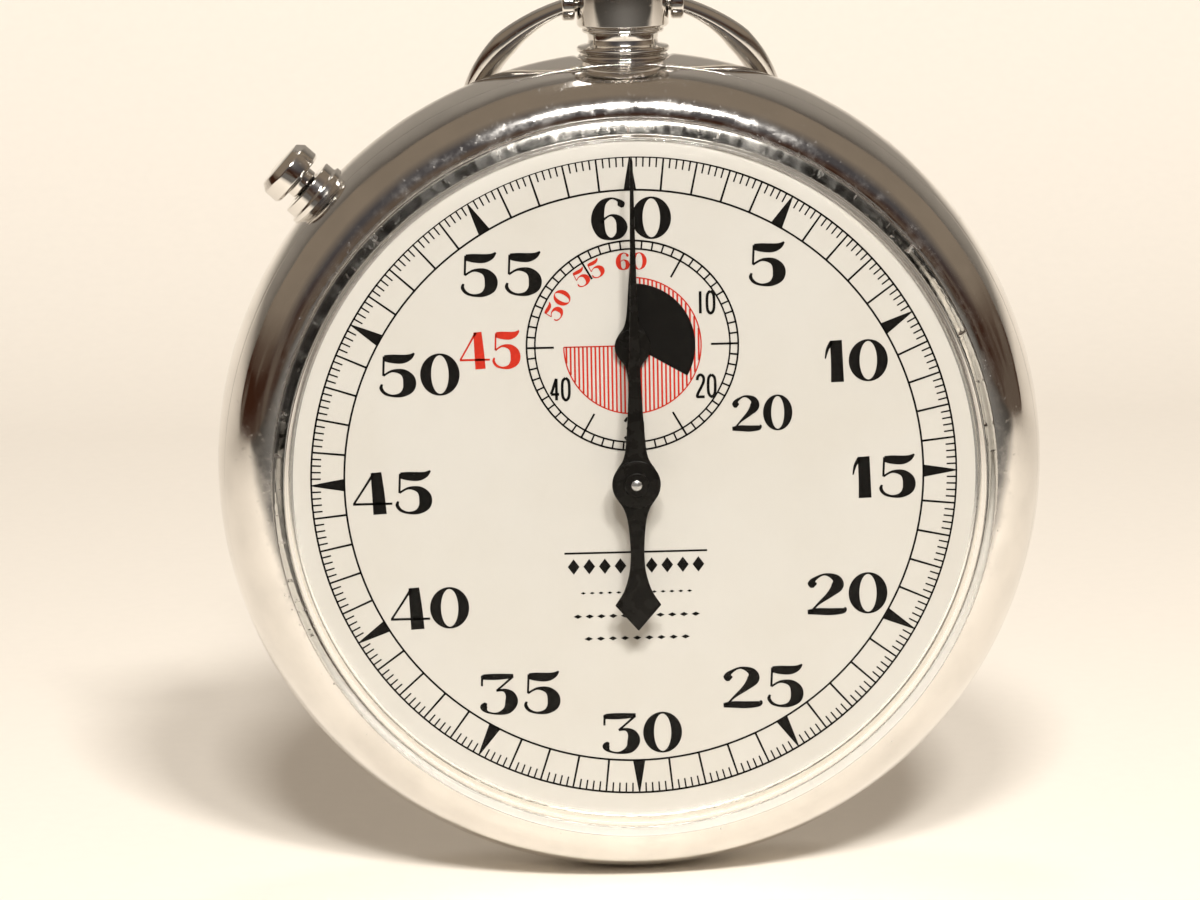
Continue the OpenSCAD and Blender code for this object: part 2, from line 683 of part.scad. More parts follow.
module ratchet_screw() color("steelblue") upright() {
  screw(barrel_at, wind_bottom, 1.1, 0.35, 0.3, bridge_out - wind_bottom - 0.05);
}

module crown_wheel() color("lightgrey") upright() {
  at(crown_wheel_at, wind_bottom) difference() {
    linear_extrude(wind_top - wind_bottom)
      polygon(teeth(crown_n, wind_m, 90, 0.2, 0.09));
    rod(1.4 + fit, -1, 3);
  }
}

module crown_wheel_screw() color("steelblue") upright() {
  screw(crown_wheel_at, wind_bottom - 0.02, 2.0, 0.4, 0.5, bridge_t + 0.5);
}

module winding_pinion() color("lightgrey") upright() {
  // its lowest gap faces the crown wheel's foremost tooth
  outwards(0, winding_pinion_y) difference() {
    linear_extrude(winding_pinion_t)
      polygon(teeth(winding_pinion_n, wind_m, 90 + 180 / winding_pinion_n, 0.2, 0.09));
    translate([-stem_square / 2 - fit, -stem_square / 2 - fit, -1])
      cube([stem_square + 2 * fit, stem_square + 2 * fit, 4]);
  }
}

module click() color("lightgrey") upright() {
  tip = barrel_at + polar(wind_m * (ratchet_n / 2 + 2.4), 8);
  difference() {
    union() {
      at(click_at, 0) rod(1.1, wind_bottom, wind_top);
      bar(click_at, tip, 0.7, wind_bottom, wind_top);
    }
    at(click_at, 0) rod(0.6 + fit, wind_bottom - 1, wind_top + 1);
  }
}

module click_spring() color("lightgrey") upright() {
  // bent wire held by a small block on the bridge
  foot = click_at + [1.6, 3.6];
  at(foot, 0) rod(0.5, wind_bottom, bridge_out);
  bar(foot, click_at + [1.35, 0.4], 0.25, wind_bottom + 0.1, wind_top - 0.1);
}

module great_wheel() color("goldenrod") upright() {
  arbor(great_at, 0.45, bridge_in + 0.05, plate_in - 0.05, bridge_in - 0.6, plate_in + 0.6);
  wheel(great_at, great_n, great_m, heading(great_at, third_at), great_z, wheel_t, 0.6, 1, 4);
  pinion(great_at, great_pinion_n, barrel_m, heading(great_at, barrel_at) + 180 / great_pinion_n,
         bridge_in + 0.1, 0.8);
}

module third_wheel() color("goldenrod") upright() {
  arbor(third_at, 0.3, bridge_in + 0.05, plate_in - 0.05, bridge_in - 0.5, plate_in + 0.5);
  wheel(third_at, third_n, third_m, heading(third_at, seconds_at), third_z, wheel_t, 0.6, 0.9, 4);
  pinion(third_at, third_pinion_n, great_m, heading(third_at, great_at) + 180 / third_pinion_n,
         great_z - 0.05, 0.4);
}

module seconds_wheel() color("goldenrod") upright() {
  arbor(seconds_at, 0.35, bridge_in + 0.05, hand_z + 0.3, bridge_in - 0.6, hand_z + 0.32);
  wheel(seconds_at, seconds_n, seconds_m, heading(seconds_at, escape_at), seconds_z, wheel_t,
        0.6, 0.9, 4);
  pinion(seconds_at, seconds_pinion_n, third_m,
         heading(seconds_at, third_at) + 180 / seconds_pinion_n, third_z - 0.05, 0.4);
  pinion(seconds_at, transfer_drive_n, transfer_m,
         heading(seconds_at, transfer_at) + 180 / transfer_drive_n, plate_out + 0.05, 0.3);
}

// heart cam on an arbor of radius r: lowest at 180 degrees, highest at 0
module heart(p, high, low, r) {
  at(p, heart_z) difference() {
    linear_extrude(heart_t)
      polygon([for (i = [-6:5]) let (a = i * 30 + 15) polar(high - (high - low) * abs(a) / 180, a)]);
    rod(r, -1, 3);
  }
}
module seconds_heart() color("lightgrey") upright() { heart(seconds_at, 1.6, 0.75, 0.35); }
module minute_heart() color("lightgrey") upright() { heart(minute_at, 0.88, 0.5, 0.3); }

module escape_wheel() color("goldenrod") upright() {
  arbor(escape_at, 0.25, bridge_in + 0.05, plate_in - 0.05, bridge_in - 0.5, plate_in + 0.5);
  pinion(escape_at, escape_pinion_n, seconds_m,
         heading(escape_at, seconds_at) + 180 / escape_pinion_n, seconds_z - 0.05, 0.35);
  at(escape_at, escape_z) {
    difference() {
      linear_extrude(wheel_t)
        polygon([for (i = [0:escape_teeth - 1], k = [[0, -0.7], [0.45, 0], [0.6, 0], [0.62, -0.6]])
          polar(escape_r + k[1], (i + k[0]) * 360 / escape_teeth)]);
      rod(escape_r - 1.1, -1, 2);
    }
    rod(0.7, 0, wheel_t);
    for (i = [0:3]) rotate([0, 0, i * 90]) translate([0, -0.15, 0]) cube([escape_r - 1, 0.3, wheel_t]);
  }
}

module pallet_fork() color("lightgrey") upright() {
  z0 = escape_z - 0.1;
  z1 = escape_z + wheel_t + 0.1;
  up = heading(pallet_at, escape_at);
  down = heading(pallet_at, balance_at);
  arbor(pallet_at, 0.25, bridge_in + 0.8, plate_in - 0.05, bridge_in + 0.2, plate_in + 0.5);
  at(pallet_at, 0) rod(0.5, z0, z1);
  // arms to the two pallet stones, which stand just clear of the escape wheel
  for (s = [-1, 1]) {
    stone = escape_at + polar(escape_r + 0.42, up + 180 + s * 34);
    bar(pallet_at, stone, 0.4, z0, z1);
    at(stone, 0) rod(0.3, z0, z1);
  }
  // lever with its fork, short of the roller's pin
  bar(pallet_at, pallet_at + polar(4.2, down), 0.4, z0, z1);
  at(pallet_at + polar(4.1, down), z0) rotate([0, 0, down]) for (s = [-1, 1])
    translate([0, s * 0.36 - 0.12, 0]) cube([0.4, 0.24, z1 - z0]);
  at(pallet_at + polar(4.0, down), z0) rotate([0, 0, down]) translate([0, -0.48, 0])
    cube([0.2, 0.96, z1 - z0]);
}

module balance_wheel() color("gold") upright() {
  arbor(balance_at, 0.3, cock_in + 0.05, plate_in - 0.05, cock_in - 0.5, plate_in + 0.5);
  at(balance_at, 0) {
    ring(balance_r - 0.55, balance_r, rim_z, rim_z + rim_t);
    rod(0.8, rim_z, rim_z + rim_t - 0.2);
    rotate([0, 0, 30]) translate([-balance_r + 0.3, -0.3, rim_z])
      cube([2 * balance_r - 0.6, 0.6, rim_t - 0.2]);
    // roller and its pin
    rod(0.75, escape_z + wheel_t + 0.15, escape_z + wheel_t + 0.35);
    at(polar(0.6, heading(balance_at, pallet_at)), 0) rod(0.1, escape_z, escape_z + wheel_t + 0.2);
  }
}

stud_at = balance_at + polar(2.9, heading(balance_at, cock_pillar));
spring_z = cock_in + 0.1;
module hairspring() color("steelblue") upright() {
  turns = 6;
  per = 14;
  r0 = 0.4;
  r1 = 2.5;
  t = 0.08;
  outer = [for (i = [0:turns * per]) polar(r0 + t + (r1 - r0) * i / (turns * per), i * 360 / per)];
  inner = [for (i = [turns * per:-1:0]) polar(r0 + (r1 - r0) * i / (turns * per), i * 360 / per)];
  at(balance_at, spring_z) {
    linear_extrude(0.3) polygon(concat(outer, inner));
    ring(0.3, 0.45, 0, 0.3);
  }
}

module hairspring_stud() color("lightgrey") upright() {
  at(stud_at, 0) rod(0.3, cock_in - 1.1, spring_z + 0.35);
}

module transfer_wheel() color("goldenrod") upright() {
  difference() {
    union() {
      wheel(transfer_at, transfer_n, transfer_m, heading(transfer_at, seconds_at), transfer_z,
            register_wheel_t, 0.6, 0.9, 4);
      pinion(transfer_at, transfer_pinion_n, minute_m,
             heading(transfer_at, minute_at) + 180 / transfer_pinion_n,
             transfer_z, minute_z - transfer_z + register_wheel_t + 0.05);
    }
    at(transfer_at, 0) rod(0.25 + fit, transfer_z - 1, dial_under);
  }
}

module minute_wheel() color("goldenrod") upright() {
  arbor(minute_at, 0.3, bridge_in + 0.05, minute_hand_z, bridge_in - 0.6, minute_hand_z + 0.05);
  at(minute_at, 0) rod(0.25, minute_hand_z - 0.1, minute_hand_z + 0.2);
  wheel(minute_at, minute_n, minute_m, heading(minute_at, transfer_at), minute_z,
        register_wheel_t, 0.6, 0.9, 4);
}

// ---- start, stop and reset ----
module column_wheel() color("lightgrey") upright() {
  at(column_at, 0) difference() {
    union() {
      translate([0, 0, lever_z]) linear_extrude(lever_t)
        polygon([for (i = [0:11], k = [[0, 2.3], [0.1, 2.3], [0.95, 1.8]])
          polar(k[1], (i + k[0]) * 30)]);
      for (i = [0:5]) rotate([0, 0, i * 60]) translate([1.1, -0.3, lever_z + lever_t])
        cube([0.6, 0.6, 1.4]);
      rod(1.2, lever_z + lever_t, lever_z + lever_t + 0.4);
    }
    rod(stud_r + fit, lever_z - 1, plate_in);
  }
}

module lever_plate(pivot, points, w, z0, z1) {
  // a lever through a chain of points, turning on a stud at the pivot
  difference() {
    union() {
      at(pivot, 0) rod(1.3, z0, z1);
      for (i = [0:len(points) - 2]) bar(points[i], points[i + 1], w, z0, z1);
      for (p = points) at(p, 0) rod(w / 2 + 0.06, z0, z1);
    }
    at(pivot, 0) rod(stud_r + fit, z0 - 1, z1 + 1);
  }
}

module operating_lever() color("lightgrey") upright() {
  lever_plate(operating_at, [[-0.3, stem_end - 0.7], operating_at, [-8.1, 11]], 0.8,
              lever_z, lever_z + lever_t);
}

brake_tip = balance_at + polar(balance_r + 0.95, 200);
module brake_lever() color("lightgrey") upright() {
  lever_plate(brake_at, [[-12.3, 5.6], brake_at, brake_tip], 0.7, brake_z, brake_z + brake_t);
  at(brake_tip, 0) rod(0.35, rim_z, brake_z + brake_t);
}

hammer_tail = polar(button_stem_end - 0.75, 90 + button_at);
module reset_hammer() color("lightgrey") upright() {
  z0 = heart_z;
  z1 = heart_z + heart_t;
  lever_plate(hammer_at, [hammer_tail, hammer_at, [-6.4, 9.3], [-4.6, 5.4]], 0.9, z0, z1);
  at(hammer_tail, 0) rod(0.45, z1 - 0.1, z0 + 1.5);
  // the two striking faces, one for each heart
  bar([-6.4, 9.3], [-3.1, 8.6], 0.8, z0, z1);
  bar([-4.6, 5.4], [-3.2, 0.4], 0.8, z0, z1);
}

case_middle();
back_cover();
bezel();
crystal();
pendant();
crown();
winding_stem();
stem_collar();
crown_spring();
bow();
reset_button();
button_sleeve();
button_spring();
dial();
dial_screws();
sweep_hand();
minute_hand();
movement_ring();
main_plate();
barrel_bridge();
train_bridge();
balance_cock();
pallet_cock();
bridge_screws();
casing_screws();
jewels();
barrel();
barrel_cover();
barrel_arbor();
mainspring();
ratchet_wheel();
ratchet_screw();
click();
click_spring();
crown_wheel();
crown_wheel_screw();
winding_pinion();
great_wheel();
third_wheel();
seconds_wheel();
seconds_heart();
escape_wheel();
pallet_fork();
balance_wheel();
hairspring();
hairspring_stud();
transfer_wheel();
minute_wheel();
minute_heart();
column_wheel();
operating_lever();
brake_lever();
reset_hammer();
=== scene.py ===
"""Mechanical stopwatch: finished pieces, print and finishes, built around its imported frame.

Laid out as an add-on: the sizes and colours are properties, each piece or group of like pieces has
an operator, and the panel in the sidebar lists them.

Pieces are drawn in millimetres with +X towards 3 o'clock, +Y towards 12 o'clock and +Z out of the
dial, from the middle plane of the rim; stand() turns that into the frame, where the watch stands
upright and faces -Y.
"""

import json
import math

import bpy
from bpy.props import FloatProperty, FloatVectorProperty, PointerProperty
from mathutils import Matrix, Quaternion, Vector


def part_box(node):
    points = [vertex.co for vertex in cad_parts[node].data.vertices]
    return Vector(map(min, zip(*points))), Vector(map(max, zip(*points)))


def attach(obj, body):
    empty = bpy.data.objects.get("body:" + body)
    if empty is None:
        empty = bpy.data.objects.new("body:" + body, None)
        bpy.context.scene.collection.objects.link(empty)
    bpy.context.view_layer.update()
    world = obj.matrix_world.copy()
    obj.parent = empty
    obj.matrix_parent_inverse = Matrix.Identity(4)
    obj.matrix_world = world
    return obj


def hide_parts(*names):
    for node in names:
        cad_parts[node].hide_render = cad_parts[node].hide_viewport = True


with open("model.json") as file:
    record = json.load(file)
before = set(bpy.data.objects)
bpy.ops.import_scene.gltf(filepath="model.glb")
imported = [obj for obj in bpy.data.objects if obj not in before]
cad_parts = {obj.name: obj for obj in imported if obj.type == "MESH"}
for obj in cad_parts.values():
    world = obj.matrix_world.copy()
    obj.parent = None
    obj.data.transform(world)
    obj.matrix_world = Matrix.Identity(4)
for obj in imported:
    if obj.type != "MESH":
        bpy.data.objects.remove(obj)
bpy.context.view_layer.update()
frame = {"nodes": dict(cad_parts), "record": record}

bl_info = {
    "name": "Mechanical stopwatch",
    "version": (1, 0, 0),
    "blender": (4, 5, 0),
    "location": "View3D > Sidebar > Stopwatch",
    "description": "Builds the visible pieces of an open face stopwatch around its frame",
    "category": "Object",
}

MM = 0.001
TAU = 2 * math.pi
BODY = "body"


# ---------------------------------------------------------------- sizes read from the frame

def height_of(node):
    """Lowest and highest point of a node along the dial's axis, in millimetres."""
    low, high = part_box(node)
    return -high.y / MM, -low.y / MM


def radius_of(node):
    """Half the width of a node along X, in millimetres."""
    low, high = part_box(node)
    return (high.x - low.x) / 2 / MM


RIM_R = radius_of("case_middle")
BEZEL_TOP = height_of("bezel")[1]
BACK_H = -height_of("back_cover")[0]
CRYSTAL_FOOT, CRYSTAL_TOP = height_of("crystal")
CRYSTAL_R = radius_of("crystal")
DIAL_TOP = height_of("dial")[1]
DIAL_R = radius_of("dial")
HAND_Z = height_of("sweep_hand")[0] + 0.6
MINUTE_HAND_Z = height_of("minute_hand")[0]
PENDANT_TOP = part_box("pendant")[1].z / MM
REGISTER_Y = (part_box("minute_wheel")[0].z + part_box("minute_wheel")[1].z) / 2 / MM


# ---------------------------------------------------------------- properties

def colour(name, description, default):
    return FloatVectorProperty(name=name, description=description, subtype="COLOR",
                               size=3, min=0, max=1, default=default)


def length(name, description, default):
    return FloatProperty(name=name, description=description, unit="LENGTH",
                         default=default * MM, min=0)


class StopwatchSizes(bpy.types.PropertyGroup):
    """Sizes of the finished pieces that the frame leaves open."""

    bezel_w: length("Bezel width", "Width of the bezel, from the rim in to the crystal", 3.4)
    seam_front: length("Front seam", "Height of the seam between rim and bezel", 3.2)
    seam_back: length("Back seam", "Depth of the seam between rim and back cover", 2.1)
    flat_r: length("Back flat", "Radius of the flat in the middle of the back", 10)
    crystal_t: length("Crystal thickness", "Thickness of the crystal", 0.85)
    track_r: length("Seconds track", "Radius of the outer circle of the seconds track", 19.65)
    track_w: length("Track width", "Width of the seconds track", 2.05)
    numeral_r: length("Numeral circle", "Radius of the circle that the numerals stand on", 15.35)
    numeral_h: length("Numeral height", "Height of the numerals", 2.58)
    register_r: length("Register radius", "Radius of the minute register's outer circle", 6.4)
    collar_d: length("Collar diameter", "Diameter of the pendant's collar", 5.65)
    knob_d: length("Knob diameter", "Diameter of the winding knob", 7.8)
    bow_r: length("Bow radius", "Radius of the bow at the middle of its wire", 9.4)
    bow_wire: length("Bow wire", "Diameter of the bow's wire", 1.6)
    button_d: length("Button diameter", "Diameter of the reset button", 3.8)
    bow_rest: FloatProperty(name="Bow at rest", description="Angle between folded bow and watch",
                            subtype="ANGLE", default=math.radians(28))
    button_at: FloatProperty(name="Button direction", description="Angle from 12 o'clock, leftwards",
                             subtype="ANGLE", default=math.radians(48))


class StopwatchColours(bpy.types.PropertyGroup):
    """Colours of the finishes."""

    chrome: colour("Chrome", "Plating of the outer pieces", (0.78, 0.755, 0.72))
    tarnish: colour("Tarnish", "Specks where the plating has gone", (0.05, 0.035, 0.028))
    dial: colour("Dial", "Enamel of the dial", (0.56, 0.542, 0.515))
    dial_age: colour("Dial toning", "Toned patches of the dial", (0.54, 0.517, 0.482))
    ink: colour("Black print", "Black print and hands", (0.004, 0.0035, 0.003))
    red: colour("Red print", "Red print", (0.44, 0.026, 0.014))
    steel: colour("Steel", "Polished steel of the movement", (0.58, 0.58, 0.59))
    brass: colour("Brass", "Brass wheels", (0.80, 0.58, 0.25))
    gilt: colour("Gilt", "Grained gilt plates", (0.86, 0.66, 0.36))
    blue: colour("Blued steel", "Blued screws and hairspring", (0.03, 0.06, 0.22))
    ruby: colour("Ruby", "Jewels", (0.60, 0.02, 0.07))
    floor: colour("Floor", "Paper under and behind the watch", (0.94, 0.885, 0.80))


def sizes():
    return bpy.context.scene.stopwatch_sizes


def colours():
    return bpy.context.scene.stopwatch_colours


# ---------------------------------------------------------------- meshes

def stand(p):
    """A point in dial millimetres, in the frame."""
    return Vector((p[0], -p[2], p[1])) * MM


def make(name, points, faces, material, body, smooth=True, sharp=32):
    """An object from points in dial millimetres, riding on a body."""
    mesh = bpy.data.meshes.new(name)
    mesh.from_pydata([stand(p) for p in points], [], faces)
    mesh.validate()
    if smooth:
        mesh.shade_smooth()
        mesh.set_sharp_from_angle(angle=math.radians(sharp))
    piece = bpy.data.objects.new(name, mesh)
    bpy.context.scene.collection.objects.link(piece)
    mesh.materials.append(material)
    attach(piece, body)
    return piece


def arc(cx, cy, rx, ry, start, end, count):
    """Points of an elliptical arc, angles in degrees."""
    step = (end - start) / count
    return [(cx + rx * math.cos(math.radians(start + i * step)),
             cy + ry * math.sin(math.radians(start + i * step))) for i in range(count + 1)]


def soften(outline, radius, turns=3, least=20):
    """The closed outline with each corner sharper than `least` degrees rounded by a small arc."""
    out = []
    count = len(outline)
    for i in range(count):
        a, b, c = (Vector(outline[(i + k) % count]) for k in (-1, 0, 1))
        u, v = a - b, c - b
        bend = math.pi - u.angle(v, 0)
        if math.degrees(bend) < least or b.x < 1e-6:
            out.append(tuple(b))
            continue
        cut = min(radius * math.tan(bend / 2), 0.45 * u.length, 0.45 * v.length)
        p, q = b + u.normalized() * cut, b + v.normalized() * cut
        for k in range(turns + 1):
            t = k / turns
            out.append(tuple(p * (1 - t) ** 2 + b * 2 * t * (1 - t) + q * t ** 2))
    return out


def axis_frame(clock):
    """Directions of a piece that points away from the centre, `clock` radians left of 12."""
    along = Vector((-math.sin(clock), math.cos(clock), 0))
    side = Vector((math.cos(clock), math.sin(clock), 0))
    return along, side, Vector((0, 0, 1))


DIAL_AXIS = (Vector((0, 0, 1)), Vector((1, 0, 0)), Vector((0, 1, 0)))


def even(count):
    """Even steps round a full turn."""
    return [i * TAU / count for i in range(count)]


def turned(name, outline, material, body, axis=DIAL_AXIS, centre=(0, 0, 0),
           angles=None, shape=None, sharp=32):
    """A closed outline of (radius, height) turned about an axis; shape() may move each point."""
    angles = angles or even(192)
    along, side, other = axis
    points, rows, faces = [], [], []
    for r, h in outline:
        if r < 1e-6:
            rows.append([len(points)] * len(angles))
            points.append(Vector(centre) + along * h)
            continue
        rows.append(list(range(len(points), len(points) + len(angles))))
        for a in angles:
            p = Vector(centre) + along * h + side * (r * math.cos(a)) + other * (r * math.sin(a))
            points.append(shape(p, a) if shape else p)
    for i, row in enumerate(rows):
        above = rows[(i + 1) % len(rows)]
        if row[0] == row[-1] and above[0] == above[-1]:
            continue
        for k in range(len(angles)):
            n = (k + 1) % len(angles)
            ring = [row[k], row[n], above[n], above[k]]
            faces.append(list(dict.fromkeys(ring)))
    return make(name, points, faces, material, body, sharp=sharp)


def rod_profile(*stations):
    """Outline of a turned rod from (radius, height) stations, closed along its axis."""
    return [(0, stations[0][1]), *stations, (0, stations[-1][1])]


def slabs(name, shapes, low, high, material, body):
    """Flat pieces of print or sheet: each shape is a list of points and a list of faces."""
    points, faces = [], []
    for outline, cells in shapes:
        start = len(points)
        n = len(outline)
        points += [(x, y, high) for x, y in outline] + [(x, y, low) for x, y in outline]
        edges = set()
        for cell in cells:
            faces.append([start + i for i in cell])
            faces.append([start + n + i for i in reversed(cell)])
            edges |= {(cell[k], cell[(k + 1) % len(cell)]) for k in range(len(cell))}
        for a, b in edges:
            if (b, a) not in edges:
                faces.append([start + b, start + a, start + n + a, start + n + b])
    return make(name, points, faces, material, body, smooth=False)


def strip(left, right, closed=False):
    """A band between two rows of points, as one shape for slabs()."""
    n = len(left)
    cells = [[i, i + n, (i + 1) % n + n, (i + 1) % n] for i in range(n if closed else n - 1)]
    return list(left) + list(right), cells


def circle_band(cx, cy, r, w, start=0, end=360, count=180):
    """A printed circle, or an arc of one, as a band."""
    closed = end - start >= 360
    pts = [arc(cx, cy, q, q, start, end, count) for q in (r - w / 2, r + w / 2)]
    if closed:
        pts = [p[:-1] for p in pts]
    return strip(pts[0], pts[1], closed)


def ray(cx, cy, clock, r0, r1, w0, w1):
    """A straight mark on the radius at `clock` degrees past 12, tapering from w0 to w1."""
    a = math.radians(90 - clock)
    u, v = (math.cos(a), math.sin(a)), (-math.sin(a), math.cos(a))
    ends = [(cx + u[0] * r + v[0] * s * w / 2, cy + u[1] * r + v[1] * s * w / 2)
            for r, w in ((r0, w0), (r1, w1)) for s in (1, -1)]
    return ends, [[0, 1, 3, 2]]


# ---------------------------------------------------------------- numerals

# Each numeral is a list of brush strokes on a body one unit high: (x, y, width of the stroke)
NUMERALS = {
    "1": [[(0.33, 0.0, 0.29), (0.32, 0.5, 0.27), (0.30, 0.99, 0.27)],
          [(0.20, 0.95, 0.09), (0.11, 0.78, 0.07), (0.06, 0.56, 0.03)]],
    "2": [[(0.17, 0.66, 0.07), (0.17, 0.76, 0.21), (0.21, 0.86, 0.10), (0.43, 0.975, 0.05),
           (0.66, 0.88, 0.18), (0.70, 0.70, 0.28), (0.55, 0.50, 0.16), (0.30, 0.27, 0.06),
           (0.12, 0.06, 0.05)],
          [(0.07, 0.075, 0.11), (0.28, 0.085, 0.16), (0.56, 0.07, 0.17), (0.82, 0.09, 0.13),
           (0.86, 0.17, 0.04)]],
    "3": [[(0.12, 0.70, 0.05), (0.13, 0.90, 0.06), (0.17, 0.92, 0.13), (0.45, 0.92, 0.15),
           (0.78, 0.93, 0.10)],
          [(0.77, 0.92, 0.06), (0.60, 0.75, 0.05), (0.42, 0.58, 0.05)],
          [(0.42, 0.58, 0.05), (0.58, 0.59, 0.08), (0.70, 0.48, 0.22), (0.73, 0.30, 0.29),
           (0.64, 0.11, 0.20), (0.43, 0.025, 0.06), (0.22, 0.07, 0.06), (0.15, 0.19, 0.17),
           (0.20, 0.29, 0.06)]],
    "4": [[(0.62, 0.0, 0.30), (0.59, 0.5, 0.28), (0.55, 1.0, 0.24)],
          [(0.50, 0.99, 0.06), (0.27, 0.62, 0.05), (0.04, 0.26, 0.05)],
          [(0.02, 0.25, 0.055), (0.90, 0.25, 0.055)]],
    "5": [[(0.19, 0.92, 0.14), (0.34, 0.90, 0.20), (0.56, 0.885, 0.21), (0.72, 0.93, 0.14),
           (0.82, 1.02, 0.04)],
          [(0.19, 0.96, 0.05), (0.18, 0.74, 0.05), (0.17, 0.50, 0.05)],
          [(0.17, 0.50, 0.05), (0.36, 0.61, 0.06), (0.58, 0.57, 0.16), (0.70, 0.40, 0.28),
           (0.69, 0.20, 0.27), (0.55, 0.05, 0.13), (0.36, 0.02, 0.06), (0.20, 0.08, 0.07),
           (0.12, 0.20, 0.08), (0.14, 0.30, 0.05)]],
    "6": [[(0.74, 0.76, 0.06), (0.71, 0.84, 0.17), (0.64, 0.93, 0.07), (0.48, 0.975, 0.05),
           (0.30, 0.87, 0.16), (0.20, 0.64, 0.27), (0.19, 0.38, 0.29), (0.28, 0.13, 0.20),
           (0.47, 0.025, 0.06), (0.65, 0.11, 0.17), (0.72, 0.30, 0.25), (0.65, 0.49, 0.17),
           (0.49, 0.58, 0.05), (0.34, 0.50, 0.05), (0.27, 0.40, 0.05)]],
}
for wide_numeral in "235":
    NUMERALS[wide_numeral] = [[(x * 1.08, y, w) for x, y, w in stroke]
                              for stroke in NUMERALS[wide_numeral]]
# Direction of each numeral of the seconds, past 12, and how far it sits inside the numeral circle
NUMERAL_PLACES = {5: (32.4, 0.08), 10: (63.0, 0.17), 15: (91.1, 0.13), 20: (120.3, 0.49),
                  25: (149.8, 0.09), 30: (179.5, -0.53), 35: (208.7, 0.29), 40: (238.4, 0.57),
                  45: (267.8, 0.70), 50: (297.1, 0.76), 55: (328.1, 0.45), 60: (0.1, -0.53)}
NUMERAL_ZERO = (0.44, 0.50, 0.195, 0.455)     # outer and inner half width and half height
NUMERAL_WIDE = {"0": 0.93, "1": 0.56, "2": 0.98, "3": 0.98, "4": 0.88, "5": 0.98, "6": 0.91}


def curve(points, detail=7):
    """A smooth line through its points, which may carry a width as well."""
    ends = [points[0], *points, points[-1]]
    line = []
    for i in range(1, len(ends) - 2):
        for k in range(detail):
            t = k / detail
            line.append(tuple(0.5 * (2 * b + (c - a) * t + (2 * a - 5 * b + 4 * c - d) * t * t
                                     + (3 * b - a - 3 * c + d) * t ** 3)
                              for a, b, c, d in zip(*ends[i - 1:i + 3])))
    return line + [tuple(points[-1])]


def brush(points):
    """A stroke of changing width through its points, as a band."""
    line = curve(points)
    left, right = [], []
    for i, (x, y, w) in enumerate(line):
        a, b = line[max(i - 1, 0)], line[min(i + 1, len(line) - 1)]
        way = Vector((b[0] - a[0], b[1] - a[1])).normalized()
        left.append((x - way.y * w / 2, y + way.x * w / 2))
        right.append((x + way.y * w / 2, y - way.x * w / 2))
    return strip(left, right)


def number_shapes(text, x, y, high, turn=0.0, narrow=1.0):
    """Bands that draw a number centred on a place, turned clockwise by `turn` degrees."""
    wide = sum(NUMERAL_WIDE[c] for c in text) * narrow
    at = -wide / 2
    shapes = []
    for c in text:
        if c == "0":
            rx, ry, ix, iy = NUMERAL_ZERO
            rings = [[(0.465 + q * math.cos(i * TAU / 48), 0.5 + s * math.sin(i * TAU / 48))
                      for i in range(48)] for q, s in ((ix, iy), (rx, ry))]
            bands = [strip(rings[0], rings[1], True)]
        else:
            bands = [brush(stroke) for stroke in NUMERALS[c]]
        shapes += [(placed([((at + px * narrow) * high, (py - 0.5) * high) for px, py in outline],
                           x, y, turn), cells) for outline, cells in bands]
        at += NUMERAL_WIDE[c] * narrow
    return shapes


def placed(points, x, y, turn):
    """Points turned clockwise by `turn` degrees and moved to a place."""
    a = -math.radians(turn)
    return [(x + u * math.cos(a) - v * math.sin(a), y + u * math.sin(a) + v * math.cos(a))
            for u, v in points]


# Narrow numbers of the register, drawn with one pen, on a body one unit high and 0.36 wide
PLAIN_NUMERALS = {
    "0": [(0.18, 1.0), (0.05, 0.86), (0.02, 0.5), (0.05, 0.14), (0.18, 0.0), (0.31, 0.14),
          (0.34, 0.5), (0.31, 0.86), (0.18, 1.0)],
    "1": [(0.22, 0.0), (0.22, 0.5), (0.22, 1.0)],
    "2": [(0.03, 0.76), (0.07, 0.93), (0.19, 1.0), (0.31, 0.90), (0.32, 0.70), (0.22, 0.46),
          (0.08, 0.20), (0.03, 0.02), (0.20, 0.0), (0.36, 0.0)],
    "3": [(0.03, 0.84), (0.16, 1.0), (0.31, 0.86), (0.28, 0.62), (0.15, 0.53), (0.30, 0.44),
          (0.34, 0.20), (0.18, 0.0), (0.02, 0.16)],
    "4": [(0.26, 0.0), (0.26, 0.98), (0.02, 0.27), (0.38, 0.27)],
}


def plain_number(text, x, y, high, pen=0.125, pitch=0.50):
    """Bands that draw a narrow number with an even pen."""
    shapes = []
    for i, c in enumerate(text):
        at = (i - len(text) / 2) * pitch + 0.07
        points = PLAIN_NUMERALS[c]
        pieces = [points] if c != "4" else [points[:2], points[1:3], points[2:]]
        for piece in pieces:
            outline, cells = brush([(px, py, pen) for px, py in piece])
            shapes.append((placed([((at + px) * high, (py - 0.5) * high) for px, py in outline],
                                  x, y, 0), cells))
    return shapes


# ---------------------------------------------------------------- finishes

